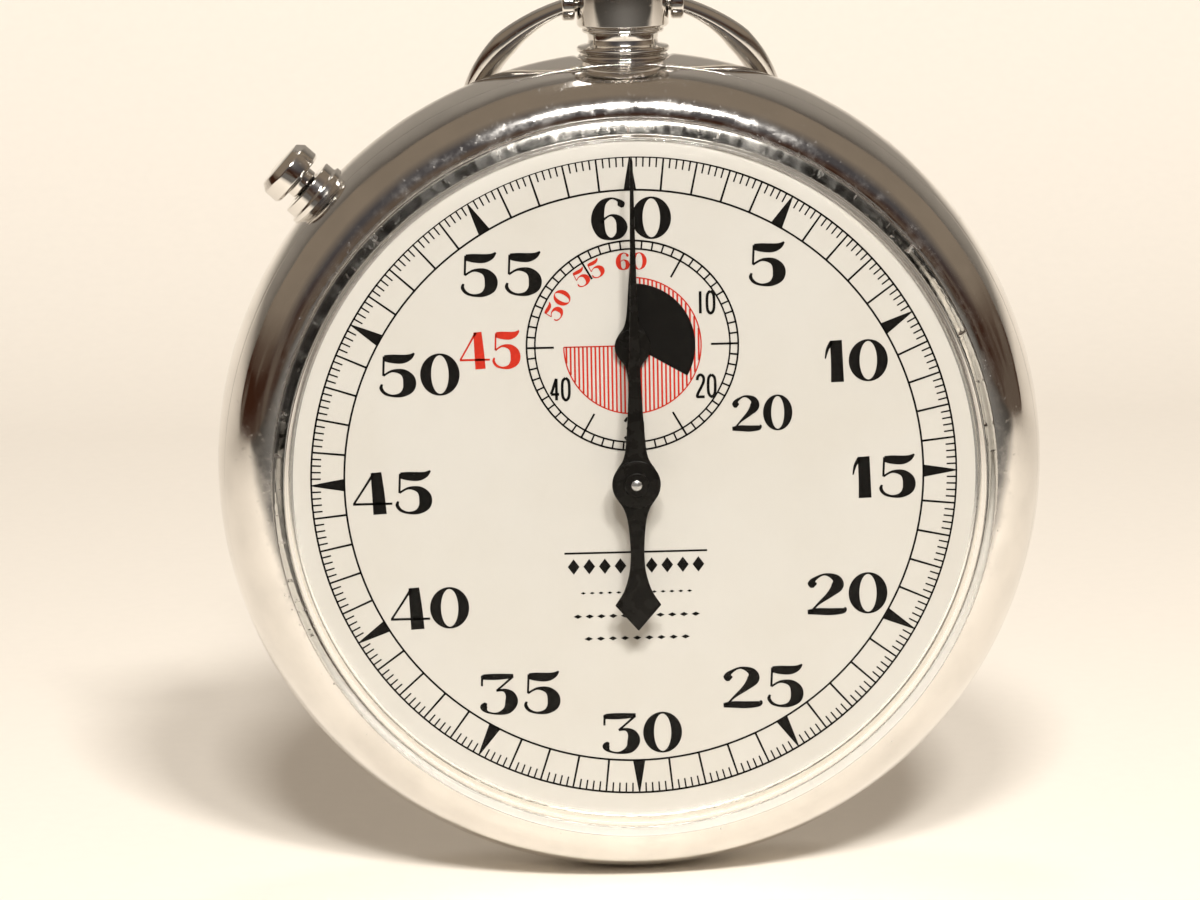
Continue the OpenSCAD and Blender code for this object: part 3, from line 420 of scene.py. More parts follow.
class Graph:
    """The nodes of a material or a world, with short ways to add and join them."""

    def __init__(self, name, world=None):
        self.material = world or bpy.data.materials.new(name)
        self.material.use_nodes = True
        self.nodes = self.material.node_tree.nodes
        self.links = self.material.node_tree.links
        self.shader = self.nodes["Background" if world else "Principled BSDF"]

    def add(self, kind, values=None, **settings):
        node = self.nodes.new(kind)
        for key, value in settings.items():
            setattr(node, key, value)
        for key, value in (values or {}).items():
            self.set(node, key, value)
        return node

    def set(self, node, key, value):
        socket = node.inputs[key]
        if isinstance(value, bpy.types.NodeSocket):
            self.links.new(value, socket)
        else:
            socket.default_value = value

    def shade(self, **values):
        for key, value in values.items():
            self.set(self.shader, key.replace("_", " "), value)

    def place(self, stretch=(1000, 1000, 1000), turn=(0, 0, 0)):
        """Object coordinates, in millimetres when the stretch is 1000."""
        where = self.add("ShaderNodeTexCoord")
        return self.add("ShaderNodeMapping", {"Vector": where.outputs["Object"],
                                              "Scale": stretch, "Rotation": turn}).outputs[0]

    def noise(self, vector, scale, detail=3.0, rough=0.5):
        return self.add("ShaderNodeTexNoise", {"Vector": vector, "Scale": scale,
                                               "Detail": detail, "Roughness": rough}).outputs[0]

    def ramp(self, value, low, high, to_low=0.0, to_high=1.0):
        return self.add("ShaderNodeMapRange", {"Value": value, 1: low, 2: high,
                                               3: to_low, 4: to_high}).outputs[0]

    def math(self, operation, a, b):
        return self.add("ShaderNodeMath", {0: a, 1: b}, operation=operation).outputs[0]

    def mix(self, factor, a, b):
        node = self.add("ShaderNodeMix", data_type="RGBA")
        for key, value in ((0, factor), (6, a), (7, b)):
            if isinstance(value, bpy.types.NodeSocket):
                self.links.new(value, node.inputs[key])
            else:
                node.inputs[key].default_value = value if key == 0 else (*value, 1)
        return node.outputs[2]

    def pass_light(self, factor, tone=(1, 1, 1, 1)):
        """Light passes straight through the surface where the factor is 1."""
        clear = self.add("ShaderNodeBsdfTransparent", {"Color": tone})
        both = self.add("ShaderNodeMixShader", {0: factor, 1: self.shader.outputs[0],
                                                2: clear.outputs[0]})
        self.links.new(both.outputs[0], self.nodes["Material Output"].inputs["Surface"])

    def bump(self, height, strength, distance, normal=None):
        values = {"Height": height, "Strength": strength, "Distance": distance}
        if normal:
            values["Normal"] = normal
        return self.add("ShaderNodeBump", values).outputs[0]


def hair_scratches(g, count, turn):
    """Fine straight scratches in one direction: 1 on a scratch, 0 elsewhere."""
    streaks = g.noise(g.place((1000 * count, 1000 * 0.12, 1000 * count), turn), 1.0, 2.0)
    return g.ramp(streaks, 0.66, 0.74)


def plated(name, pits=False):
    """Old chrome plating: bright, a little uneven, hair scratches, specks by the crystal."""
    c = colours()
    g = Graph(name)
    wear = g.noise(g.place(), 0.35, 4.0)
    cross = g.math("MAXIMUM", hair_scratches(g, 3.0, (0.3, 0.6, 0.2)),
                   hair_scratches(g, 2.2, (0.9, -0.5, 1.3)))
    rough = g.math("ADD", g.ramp(wear, 0.35, 0.7, 0.055, 0.15),
                   g.math("MULTIPLY", cross, 0.10))
    tone = g.mix(g.ramp(wear, 0.4, 0.75), c.chrome, [v * 0.90 for v in c.chrome])
    if pits:
        where = g.add("ShaderNodeTexCoord").outputs["Object"]
        flat = g.add("ShaderNodeVectorMath", {0: where, 1: (1, 0, 1)}, operation="MULTIPLY")
        r = g.add("ShaderNodeVectorMath", {0: flat.outputs[0]}, operation="LENGTH").outputs["Value"]
        near = g.ramp(r, (CRYSTAL_R + 1.2) * MM, (CRYSTAL_R + 0.02) * MM, 0, 0.13)
        specks = g.math("ADD", g.noise(g.place(), 2.6, 5.0, 0.65), near)
        pit = g.ramp(specks, 0.74, 0.79)
        worn = g.math("MULTIPLY", g.ramp(r, (CRYSTAL_R + 1.5) * MM, (CRYSTAL_R + 0.5) * MM),
                      g.ramp(g.noise(g.place(), 1.7, 5.0, 0.6), 0.40, 0.66, 0.0, 0.11))
        rough = g.math("ADD", rough, worn)
        tone = g.mix(pit, tone, c.tarnish)
        rough = g.math("ADD", rough, g.math("MULTIPLY", pit, 0.4))
    g.shade(Base_Color=tone, Metallic=1.0, Roughness=rough)
    wave = g.bump(g.noise(g.place(), 0.16, 2.0), 0.25, 0.00035)
    g.shade(Normal=g.bump(cross, 0.10, 0.00001, wave))
    return g.material


def enamel():
    """Warm white enamel of the dial: fine grain, toning, faint scratches."""
    c = colours()
    g = Graph("dial_enamel")
    grain = g.noise(g.place(), 7.0, 4.0, 0.7)
    toning = g.noise(g.place(), 0.12, 5.0, 0.6)
    scratch = hair_scratches(g, 5.0, (0.2, 1.1, 0.4))
    tone = g.mix(g.ramp(toning, 0.42, 0.72), c.dial, c.dial_age)
    tone = g.mix(g.ramp(grain, 0.35, 0.75, 0.0, 0.16), tone, [v * 0.72 for v in c.dial])
    tone = g.mix(g.math("MULTIPLY", scratch, 0.25), tone, [min(v * 1.15, 1) for v in c.dial])
    g.shade(Base_Color=tone, Roughness=g.ramp(grain, 0.3, 0.7, 0.36, 0.52))
    g.shade(Normal=g.bump(grain, 0.06, 0.00002))
    return g.material


def print_ink(name, tone):
    """Print on the dial, slightly uneven."""
    g = Graph(name)
    cover = g.noise(g.place(), 5.0, 3.0)
    g.shade(Base_Color=g.mix(g.ramp(cover, 0.35, 0.8, 0.0, 0.35), tone,
                             [v * 1.5 + 0.004 for v in tone]),
            Roughness=g.ramp(cover, 0.3, 0.7, 0.38, 0.5), Specular_IOR_Level=0.08)
    return g.material


def hand_black():
    """Gloss black of the hands."""
    g = Graph("hand_black")
    cover = g.noise(g.place(), 1.6, 3.0)
    g.shade(Base_Color=g.mix(cover, colours().ink, [v * 2.0 for v in colours().ink]),
            Roughness=g.ramp(cover, 0.3, 0.7, 0.20, 0.34), Specular_IOR_Level=0.14)
    return g.material


def clear_crystal():
    """Clear crystal, lightly scratched, that lets light through to the dial."""
    g = Graph("clear_crystal")
    scratch = g.math("MAXIMUM", hair_scratches(g, 2.0, (0.5, 0.2, 0.9)),
                     hair_scratches(g, 1.4, (1.2, 0.7, -0.4)))
    g.shade(Base_Color=(0.985, 0.985, 0.97, 1), IOR=1.40, Transmission_Weight=1.0,
            Specular_Tint=(0.06, 0.06, 0.06, 1),
            Roughness=g.ramp(scratch, 0, 1, 0.0, 0.05))
    g.shade(Normal=g.bump(scratch, 0.02, 0.00001))
    path = g.add("ShaderNodeLightPath")
    shadow = g.math("MAXIMUM", path.outputs["Is Shadow Ray"], path.outputs["Is Diffuse Ray"])
    g.pass_light(shadow, (0.97, 0.97, 0.96, 1))
    return g.material


def worked_metal(name, tone, rough, grain, strength):
    """A metal with a fine directional grain."""
    g = Graph(name)
    lines = g.noise(g.place((1000 * grain, 400, 90)), 1.0, 3.0)
    patch = g.noise(g.place(), 0.4, 4.0)
    g.shade(Base_Color=g.mix(g.ramp(patch, 0.35, 0.75), tone, [v * 0.82 for v in tone]),
            Metallic=1.0, Roughness=g.ramp(lines, 0.3, 0.7, rough * 0.8, rough * 1.3),
            Normal=g.bump(lines, strength, 0.00001))
    return g.material


def jewel_red():
    """Clear red of the jewels."""
    g = Graph("jewel_red")
    cloud = g.noise(g.place(), 2.0, 3.0)
    g.shade(Base_Color=g.mix(cloud, colours().ruby, [v * 0.6 for v in colours().ruby]),
            Roughness=0.06, IOR=1.76)
    return g.material


def paper():
    """Pale paper of the floor and of the sheet behind the watch, with painted shade that only
    reflections see.
    """
    g = Graph("paper")
    fibre = g.noise(g.place(), 0.9, 4.0)
    tone = colours().floor
    pale = g.mix(g.ramp(fibre, 0.3, 0.7), tone, [v * 0.985 for v in tone])
    # painted shade: for reflections only, the rising sheet and the floor in front of the watch are
    # painted dark to stand in for a dim room, while the camera sees pale paper
    place = g.add("ShaderNodeSeparateXYZ", {0: g.place((1, 1, 1))}).outputs
    seen = g.add("ShaderNodeLightPath").outputs["Is Camera Ray"]
    reflected = g.math("SUBTRACT", 1.0, seen)
    # painted shade: the sheet above the floor is painted dark where reflections see it
    high = g.math("MULTIPLY", g.ramp(place["Z"], 0.02, 0.09), reflected)
    # painted shade: the floor in front of the watch is painted near black where reflections see it
    front = g.math("MULTIPLY", g.ramp(place["Y"], -0.07, -0.13), reflected)
    pale = g.mix(high, pale, [v * 0.33 for v in tone])
    g.shade(Base_Color=g.mix(front, pale, [v * 0.05 for v in tone]), Roughness=0.85)
    g.shade(Normal=g.bump(fibre, 0.03, 0.00005))
    # the sheet is one sided, so that the watch can be looked at from behind it
    g.pass_light(g.add("ShaderNodeNewGeometry").outputs["Backfacing"])
    return g.material


FINISHES = {}


def finish_of(name):
    """Each finish is made once."""
    makers = {
        "plated": lambda: plated("plated"),
        "plated_pitted": lambda: plated("plated_pitted", pits=True),
        "enamel": enamel,
        "ink": lambda: print_ink("ink_black", colours().ink),
        "red": lambda: print_ink("ink_red", colours().red),
        "hand": hand_black,
        "crystal": clear_crystal,
        "steel": lambda: worked_metal("polished_steel", colours().steel, 0.22, 5, 0.08),
        "brass": lambda: worked_metal("wheel_brass", colours().brass, 0.28, 4, 0.08),
        "gilt": lambda: worked_metal("grained_gilt", colours().gilt, 0.40, 9, 0.20),
        "blue": lambda: worked_metal("blued_steel", colours().blue, 0.18, 3, 0.04),
        "ruby": jewel_red,
    }
    if name not in FINISHES:
        FINISHES[name] = makers[name]()
    return FINISHES[name]


# ---------------------------------------------------------------- body shell

def ellipse_edge(low, high, count):
    """Front of rim and bezel: a quarter ellipse from the widest place up to the crystal."""
    w = sizes().bezel_w / MM
    a0 = math.degrees(math.asin(low / BEZEL_TOP))
    a1 = math.degrees(math.asin(high / BEZEL_TOP))
    return arc(RIM_R - w, 0, w, BEZEL_TOP, a0, a1, count)


ROLL_W, ROLL_H = 2.5, 2.4                      # rounded edge of the back
ROLL_END = 65                                  # where it passes into the dome, in degrees
DOME_SAG = 1.15


def rolled_edge(low, high, count):
    """Back edge of the rim, from one depth below the middle plane to another."""
    a0 = -math.degrees(math.asin(low / ROLL_H))
    a1 = -math.degrees(math.asin(high / ROLL_H))
    return arc(RIM_R - ROLL_W, 0, ROLL_W, ROLL_H, a0, a1, count)


def back_dome(count):
    """The back from its rounded edge in to the flat in the middle, as one soft curve."""
    flat = sizes().flat_r / MM
    first = arc(RIM_R - ROLL_W, 0, ROLL_W, ROLL_H, -ROLL_END, -ROLL_END, 1)[0]
    mid = ((first[0] + flat) / 2, -(ROLL_H + BACK_H) / 2 - DOME_SAG)
    return [tuple((1 - t) ** 2 * a + 2 * t * (1 - t) * m + t * t * b
                  for a, m, b in zip(first, mid, (flat, -BACK_H)))
            for t in (i / count for i in range(count + 1))]


def rim_angles():
    """Even steps round the rim, finer beside the pendant."""
    coarse = [math.radians(i * 1.5) for i in range(240) if not 79 < i * 1.5 < 101]
    fine = [math.radians(79 + i * 0.4) for i in range(56)]
    return sorted(coarse + fine)


DISH_R, DISH_EDGE, DISH_DEPTH = 3.1, 0.7, 0.30  # shallow dish round the pendant's foot


def dished(p, _angle):
    """The rim sinks in the dish, with a soft edge."""
    if p.y > 0:
        reach = math.hypot(p.x, p.z)
        if reach < DISH_R:
            t = min((DISH_R - reach) / DISH_EDGE, 1)
            sink = DISH_DEPTH * t * t * (3 - 2 * t)
            flat = math.hypot(p.x, p.y)
            p = Vector((p.x * (1 - sink / flat), p.y * (1 - sink / flat), p.z))
    return p


class STOPWATCH_OT_rim(bpy.types.Operator):
    """Build the band of the body, between the bezel and the back cover"""

    bl_idname = "stopwatch.rim"
    bl_label = "Rim band"

    def execute(self, context):
        s = sizes()
        front, back = s.seam_front / MM - 0.004, s.seam_back / MM - 0.03
        outline = rolled_edge(back, 0, 10) + ellipse_edge(0, front, 14)[1:]
        outline += [(RIM_R - 3.1, front), (RIM_R - 3.1, -back)]
        piece = turned("rim_band", soften(outline, 0.015), finish_of("plated"), BODY,
                       angles=rim_angles(), shape=dished)
        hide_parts("case_middle")
        return {"FINISHED"}


class STOPWATCH_OT_bezel(bpy.types.Operator):
    """Build the rounded bezel that holds the crystal"""

    bl_idname = "stopwatch.bezel"
    bl_label = "Bezel"

    def execute(self, context):
        low = sizes().seam_front / MM + 0.004
        outline = ellipse_edge(low, BEZEL_TOP, 36)
        outline += [(CRYSTAL_R + 0.06, BEZEL_TOP - 0.03), (CRYSTAL_R + 0.06, CRYSTAL_FOOT),
                    (CRYSTAL_R - 0.65, CRYSTAL_FOOT), (CRYSTAL_R - 0.65, DIAL_TOP + 0.05),
                    (DIAL_R + 0.1, DIAL_TOP + 0.05), (DIAL_R + 0.1, low)]
        piece = turned("bezel_ring", soften(outline, 0.015), finish_of("plated_pitted"), BODY,
                       angles=rim_angles(), shape=dished)
        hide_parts("bezel")
        return {"FINISHED"}


class STOPWATCH_OT_back_cover(bpy.types.Operator):
    """Build the pressed-on back cover with its opening lip"""

    bl_idname = "stopwatch.back_cover"
    bl_label = "Back cover"

    def execute(self, context):
        seam = sizes().seam_back / MM + 0.03
        dome = back_dome(30)
        inner = [(r - 0.2, h + 0.6) for r, h in reversed(dome)]
        outline = rolled_edge(seam, ROLL_H * math.sin(math.radians(ROLL_END)), 3)[:-1] + dome
        outline += [(4.0, -BACK_H), (0, -BACK_H), (0, -BACK_H + 0.6)] + inner
        outline += [(RIM_R - 3.2, -3.2), (RIM_R - 3.2, -seam)]

        def lip(p, _angle):
            # a thumbnail notch in the edge at 6 o'clock, where the cover is prised off
            near = max(0, 1 - abs(p.x) / 3.0)
            if p.y < -22.5 and p.z > -seam - 0.25:
                return Vector((p.x, p.y, p.z - 0.3 * near * near))
            return p

        piece = turned("back_shell", soften(outline, 0.07), finish_of("plated"), BODY,
                       angles=rim_angles(), shape=lip)
        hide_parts("back_cover")
        return {"FINISHED"}


class STOPWATCH_OT_crystal(bpy.types.Operator):
    """Build the domed crystal with its rounded shoulder"""

    bl_idname = "stopwatch.crystal"
    bl_label = "Crystal"

    def execute(self, context):
        t = sizes().crystal_t / MM
        shoulder_w, shoulder_h = 1.9, 1.6
        z = CRYSTAL_TOP - 0.8 - shoulder_h

        def shell(r, w, h, low, top):
            side = arc(r - w, low, w, h, 0, 82, 14)
            edge, crest = side[-1]
            return side + [(edge * q, crest + (top - crest) * (1 - q * q))
                           for q in (1 - k / 20 for k in range(1, 21))]

        outer = shell(CRYSTAL_R, shoulder_w, shoulder_h, z, CRYSTAL_TOP)
        inner = shell(CRYSTAL_R - t, shoulder_w - 0.5, shoulder_h - 0.5, z + 0.25, CRYSTAL_TOP - t)
        outline = [(CRYSTAL_R, CRYSTAL_FOOT + 0.01)] + outer + inner[::-1]
        outline += [(CRYSTAL_R - t, CRYSTAL_FOOT + 0.01)]
        piece = turned("crystal_dome", outline, finish_of("crystal"), BODY, sharp=60)
        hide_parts("crystal")
        return {"FINISHED"}


# ---------------------------------------------------------------- pendant, knob, bow, button

def bead(r, low, high, count=8):
    """A rounded bead of a turned rod."""
    h = (high - low) / 2
    return arc(r - h, low + h, h, h, -90, 90, count)


class STOPWATCH_OT_pendant(bpy.types.Operator):
    """Build the turned pendant: foot, beads, neck and collar"""

    bl_idname = "stopwatch.pendant"
    bl_label = "Pendant"

    def execute(self, context):
        r = sizes().collar_d / 2 / MM
        outline = [(1.2, RIM_R - 2.6), (3.0, RIM_R - 2.3), (2.55, RIM_R - 0.75)]
        outline += bead(r, RIM_R - 0.62, RIM_R - 0.08)
        outline += bead(r + 0.03, RIM_R + 0.0, RIM_R + 0.42, 6)
        outline += [(2.2, RIM_R + 0.5), (2.12, RIM_R + 0.8), (2.2, RIM_R + 1.15)]
        outline += bead(2.52, RIM_R + 1.2, RIM_R + 1.5, 4)
        outline += [(r - 0.12, RIM_R + 1.56), (r, RIM_R + 1.70), (r, PENDANT_TOP - 0.25)]
        outline += [(r - 0.2, PENDANT_TOP), (1.5, PENDANT_TOP), (1.5, RIM_R + 0.1),
                    (1.2, RIM_R + 0.1)]
        piece = turned("pendant_tube", soften(outline, 0.06), finish_of("plated"), BODY,
                       axis=axis_frame(0), angles=even(96))
        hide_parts("pendant")
        return {"FINISHED"}


class STOPWATCH_OT_winding_knob(bpy.types.Operator):
    """Build the fluted winding and start-stop knob"""

    bl_idname = "stopwatch.winding_knob"
    bl_label = "Winding knob"

    def execute(self, context):
        low, high = (p.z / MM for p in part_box("crown"))
        r = sizes().knob_d / 2 / MM
        skirt = sizes().collar_d / 2 / MM + 0.15
        outline = [(skirt, low), (r - 0.35, low), (r, low + 0.35), (r, high - 1.5)]
        outline += arc(r - 1.0, high - 1.1, 1.0, 0.75, 0, 70, 7)[1:]
        outline += [(r * 0.45, high - 0.12), (0, high), (0, low + 1.7), (skirt, low + 1.7)]
        flutes = 28

        def fluted(p, a):
            across = math.hypot(p.x, p.z)
            inside = min(max((across - r + 0.6) / 0.35, 0), 1)
            depth = 0.26 * inside * max(0, math.cos(a * flutes)) ** 0.7
            k = 1 - depth / across
            return Vector((p.x * k, p.y, p.z * k))

        piece = turned("winding_knob", soften(outline, 0.12), finish_of("plated"), "crown",
                       axis=axis_frame(0), angles=even(flutes * 12), shape=fluted,
                       sharp=50)
        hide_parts("crown")
        return {"FINISHED"}


class STOPWATCH_OT_bow(bpy.types.Operator):
    """Build the round bow, thinning into the two knuckles that turn on the collar"""

    bl_idname = "stopwatch.bow"
    bl_label = "Bow"

    def execute(self, context):
        s = sizes()
        big, wire = s.bow_r / MM, s.bow_wire / 2 / MM
        pivot = PENDANT_TOP - 2.2
        near = s.collar_d / 2 / MM + 0.1
        knuckle = near + 0.4
        drop = math.sqrt(big * big - knuckle * knuckle)
        open_a = math.asin(knuckle / big)
        tilt = s.bow_rest
        rings, sides = 120, 20

        def swing(x, y, z):
            return Vector((x, pivot + y * math.cos(tilt) - z * math.sin(tilt),
                           y * math.sin(tilt) + z * math.cos(tilt)))

        points, faces = [], []
        for i in range(rings + 1):
            t = i / rings
            a = math.pi / 2 + open_a + t * (TAU - 2 * open_a)
            end = min(t, 1 - t) / 0.09
            ease = min(end, 1) ** 1.5
            flat = 0.37 + (wire - 0.37) * ease
            tall = 0.62 + (wire - 0.62) * ease
            for k in range(sides):
                b = k * TAU / sides
                q = big + flat * math.cos(b)
                points.append(swing(q * math.cos(a), q * math.sin(a) - drop, tall * math.sin(b)))
        for i in range(rings):
            for k in range(sides):
                n = (k + 1) % sides
                faces.append([i * sides + k, i * sides + n, (i + 1) * sides + n,
                              (i + 1) * sides + k])
        faces += [list(range(sides))[::-1], [rings * sides + k for k in range(sides)]]
        ring = make("bow_ring", points, faces, finish_of("plated"), "bow")
        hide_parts("bow")
        for side in (-1, 1):
            outline = soften(rod_profile((0.42, near - 0.75), (0.42, near), (0.95, near),
                                         (0.95, near + 0.8)), 0.2, 5)
            axis = (Vector((side, 0, 0)), Vector((0, 1, 0)), Vector((0, 0, side)))
            eye = turned(f"bow_knuckle_{'left' if side < 0 else 'right'}", outline,
                         finish_of("plated"), "bow", axis=axis, centre=(0, pivot, 0),
                         angles=even(48))
            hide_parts("bow")
        return {"FINISHED"}


class STOPWATCH_OT_reset_button(bpy.types.Operator):
    """Build the reset button and the sleeve it slides in"""

    bl_idname = "stopwatch.reset_button"
    bl_label = "Reset button"

    def execute(self, context):
        s = sizes()
        r = s.button_d / 2 / MM
        axis = axis_frame(s.button_at)
        cap, gap = RIM_R + 1.5, 0.65
        angles = even(72)
        outline = rod_profile((0.45, RIM_R - 5.7), (0.45, RIM_R), (0.75, RIM_R),
                              (0.75, cap - 0.55), (1.0, cap - 0.55), (1.0, cap),
                              (r - 0.15, cap), (r, cap + 0.18), (r, cap + 1.05),
                              (r - 0.35, cap + 1.48), (r * 0.5, cap + 1.55))
        piece = turned("reset_cap", soften(outline, 0.16, 4), finish_of("plated"), "reset_button",
                       axis=axis, angles=angles)
        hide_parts("reset_button")
        top = cap - gap
        outline = [(0.8, RIM_R - 2.5), (r + 0.22, RIM_R - 1.7), (r + 0.22, RIM_R + 0.12),
                   (r, RIM_R + 0.2), (r, top - 0.05), (r - 0.12, top), (1.06, top),
                   (1.06, RIM_R + 0.3), (0.8, RIM_R + 0.3)]
        piece = turned("button_collar", soften(outline, 0.07), finish_of("plated"), BODY,
                       axis=axis, angles=angles)
        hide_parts("button_sleeve")
        return {"FINISHED"}


# ---------------------------------------------------------------- dial and hands

INK_LOW, INK_HIGH = 0.002, 0.012               # print stands this far over the enamel


def printed(name, shapes, finish, lift=0.0):
    """Flat print that stands a hair over the enamel."""
    slabs(name, shapes, DIAL_TOP + INK_LOW + lift, DIAL_TOP + INK_HIGH + lift,
          finish_of(finish), BODY)


class STOPWATCH_OT_dial(bpy.types.Operator):
    """Build the enamelled dial disc"""

    bl_idname = "stopwatch.dial"
    bl_label = "Dial"

    def execute(self, context):
        under = DIAL_TOP - 0.4
        outline = [(0.5, DIAL_TOP), (0.5, under), (DIAL_R, under), (DIAL_R, DIAL_TOP - 0.02)]
        outline += [(DIAL_R * k / 12, DIAL_TOP) for k in range(11, 0, -1)]
        piece = turned("dial_disc", outline, finish_of("enamel"), BODY)
        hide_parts("dial")
        return {"FINISHED"}


class STOPWATCH_OT_seconds_print(bpy.types.Operator):
    """Print the seconds track: two circles, second lines, fifths and five-second wedges"""

    bl_idname = "stopwatch.seconds_print"
    bl_label = "Seconds track"

    def execute(self, context):
        s = sizes()
        r, w = s.track_r / MM, s.track_w / MM
        shapes = [circle_band(0, 0, r, 0.12), circle_band(0, 0, r - w, 0.12)]
        for i in range(300):
            if i % 25 == 0:
                shapes.append(ray(0, 0, i * 1.2, r - w, r, 0.76, 0.07))
            elif i % 5 == 0:
                shapes.append(ray(0, 0, i * 1.2, r - w, r, 0.13, 0.11))
            else:
                shapes.append(ray(0, 0, i * 1.2, r - 0.62, r, 0.09, 0.10))
        printed("seconds_track", shapes, "ink")
        return {"FINISHED"}


class STOPWATCH_OT_numerals(bpy.types.Operator):
    """Print the twelve upright numerals of the seconds"""

    bl_idname = "stopwatch.numerals"
    bl_label = "Numerals"

    def execute(self, context):
        s = sizes()
        shapes = []
        for n, (angle, inset) in NUMERAL_PLACES.items():
            a = math.radians(90 - angle)
            r = s.numeral_r / MM - inset
            shapes += number_shapes(str(n), r * math.cos(a), r * math.sin(a), s.numeral_h / MM,
                                    narrow=1.05)
        printed("numerals", shapes, "ink")
        return {"FINISHED"}


class STOPWATCH_OT_register_print(bpy.types.Operator):
    """Print the minute register: its ring, numbers, black sector and red hatched sector"""

    bl_idname = "stopwatch.register_print"
    bl_label = "Minute register"

    def execute(self, context):
        r = sizes().register_r / MM
        y = REGISTER_Y
        black = [circle_band(0, y, r, 0.11, count=120), circle_band(0, y, r - 0.5, 0.10, count=120)]
        for i in range(60):
            inner, w = (4.75, 0.12) if i % 10 == 5 else (r - 0.5, 0.10)
            black.append(ray(0, y, i * 6, inner, r, w, w))
        for n in (10, 20, 30, 40):
            a = math.radians(90 - n * 6)
            black += plain_number(str(n), 5.1 * math.cos(a), y + 5.1 * math.sin(a), 1.35)
        black += number_shapes("20", 7.75, 3.83, 2.2, narrow=0.92)
        # black sector: the first twenty minutes
        rim = arc(0, y, 3.8, 3.8, 90, -30, 40)
        black.append(([(0, y)] + rim, [[0, i + 2, i + 1] for i in range(40)]))
        printed("register_black", black, "ink", lift=0.012)

        # red sector: forty five minutes, hatched with upright lines
        red = [circle_band(0, y, 4.15, 0.08, -180, 90, 90)]
        red += [strip([(-4.15, y - 0.04), (0, y - 0.04)], [(-4.15, y + 0.04), (0, y + 0.04)]),
                strip([(-0.04, y), (-0.04, y + 4.15)], [(0.04, y), (0.04, y + 4.15)])]
        pitch, half = 0.25, 0.055
        for i in range(-16, 17):
            x = i * pitch
            reach = math.sqrt(max(4.12 ** 2 - x * x, 0))
            top = y if x < -half else y + reach
            if reach > 0.2:
                red.append(strip([(x - half, y - reach), (x - half, top)],
                                 [(x + half, y - reach), (x + half, top)]))
        for n in (50, 55, 60):
            a = math.radians(90 - n * 6)
            red += number_shapes(str(n), 5.15 * math.cos(a), y + 5.15 * math.sin(a), 1.05,
                                 turn=(n - 60) * 6)
        red += number_shapes("45", -8.56, 8.05, 2.25, narrow=0.92)
        printed("register_red", red, "red")
        return {"FINISHED"}


class STOPWATCH_OT_ornament(bpy.types.Operator):
    """Print a plain ornament under the centre: a rule over four rows of lozenges"""

    bl_idname = "stopwatch.ornament"
    bl_label = "Ornament"

    def execute(self, context):
        shapes = [strip([(-4.35, -4.62), (4.35, -4.62)], [(-4.35, -4.50), (4.35, -4.50)])]
        rows = ((-5.40, 9, 0.95, 0.36, 0.48), (-7.05, 13, 0.54, 0.16, 0.08),
                (-8.50, 11, 0.72, 0.26, 0.13), (-9.90, 9, 0.74, 0.26, 0.13))
        for y, count, pitch, w, h in rows:
            for i in range(count):
                x = (i - (count - 1) / 2) * pitch
                shapes.append(([(x - w, y), (x, y - h), (x + w, y), (x, y + h)], [[0, 1, 2, 3]]))
        printed("ornament", shapes, "ink")
        return {"FINISHED"}


def blade_outline(needle, tip, tail, end):
    """Outline of a hand from half widths along its needle and its tail."""
    right = [(x, y) for x, y in curve(tail[::-1], 4)] + [(x, y) for x, y in curve(needle, 4)]
    return [(0, end), *right, (0, tip), *[(-x, y) for x, y in right[::-1]]]


def hand(name, outline, discs, z, thick, body, node, centre):
    """A hand: a bevelled blade and turned hub discs of (radius, low, high)."""
    shape = ([(x + centre[0], y + centre[1]) for x, y in outline], [list(range(len(outline)))])
    blade = slabs(name, [shape], z, z + thick, finish_of("hand"), body)
    edge = blade.modifiers.new("edge", "BEVEL")
    edge.width = 0.05 * MM
    edge.segments = 2
    edge.limit_method = "ANGLE"
    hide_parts(node)
    for i, (r, low, high) in enumerate(discs):
        hub = turned(f"{name}_hub_{i + 1}", soften(rod_profile((r, low), (r, high)), 0.08, 4),
                     finish_of("hand"), body, centre=(*centre, 0),
                     angles=even(64))
        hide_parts(node)


class STOPWATCH_OT_hands(bpy.types.Operator):
    """Build the sweep seconds hand and the small minute hand"""

    bl_idname = "stopwatch.hands"
    bl_label = "Hands"

    def execute(self, context):
        z = HAND_Z
        needle = [(1.38, 0.45), (1.12, 0.98), (0.86, 1.36), (0.70, 1.78), (0.60, 2.4), (0.50, 3.7),
                  (0.40, 5.6), (0.28, 9), (0.20, 12), (0.14, 16), (0.085, 19.6)]
        tail = [(1.38, -0.45), (1.12, -0.98), (0.85, -1.38), (0.66, -1.85), (0.53, -2.5),
                (0.44, -3.5), (0.42, -4.5), (0.52, -5.5), (0.86, -6.6), (1.40, -7.45)]
        hand("sweep_hand_blade", blade_outline(needle, 20, tail, -9.05),
             [(1.47, z, z + 0.3), (0.75, z - 0.6, z + 0.5)], z, 0.2, "seconds", "sweep_hand",
             (0, 0))
        needle = [(1.03, 0.4), (0.84, 0.75), (0.58, 1.1), (0.42, 1.55), (0.33, 2.2), (0.2, 3.9)]
        tail = [(1.03, -0.4), (0.80, -0.78), (0.52, -1.15), (0.38, -1.6), (0.28, -2.4)]
        z = MINUTE_HAND_Z
        hand("minute_hand_blade", blade_outline(needle, 5.75, tail, -2.7),
             [(1.1, z, z + 0.22)], z, 0.14, "minutes", "minute_hand", (0, REGISTER_Y))
        for body, centre, top, r in (("seconds", (0, 0, 0), HAND_Z + 0.5, 0.34),
                                     ("minutes", (0, REGISTER_Y, 0), MINUTE_HAND_Z + 0.22, 0.24)):
            outline = [(0, top - 0.2), (r, top - 0.2)] + arc(0, top, r, 0.12, 0, 90, 6)
            turned(f"{body}_pin", outline[:-1] + [(0, top + 0.12)], finish_of("steel"), body,
                   centre=centre, angles=even(48))
        return {"FINISHED"}


# ---------------------------------------------------------------- movement

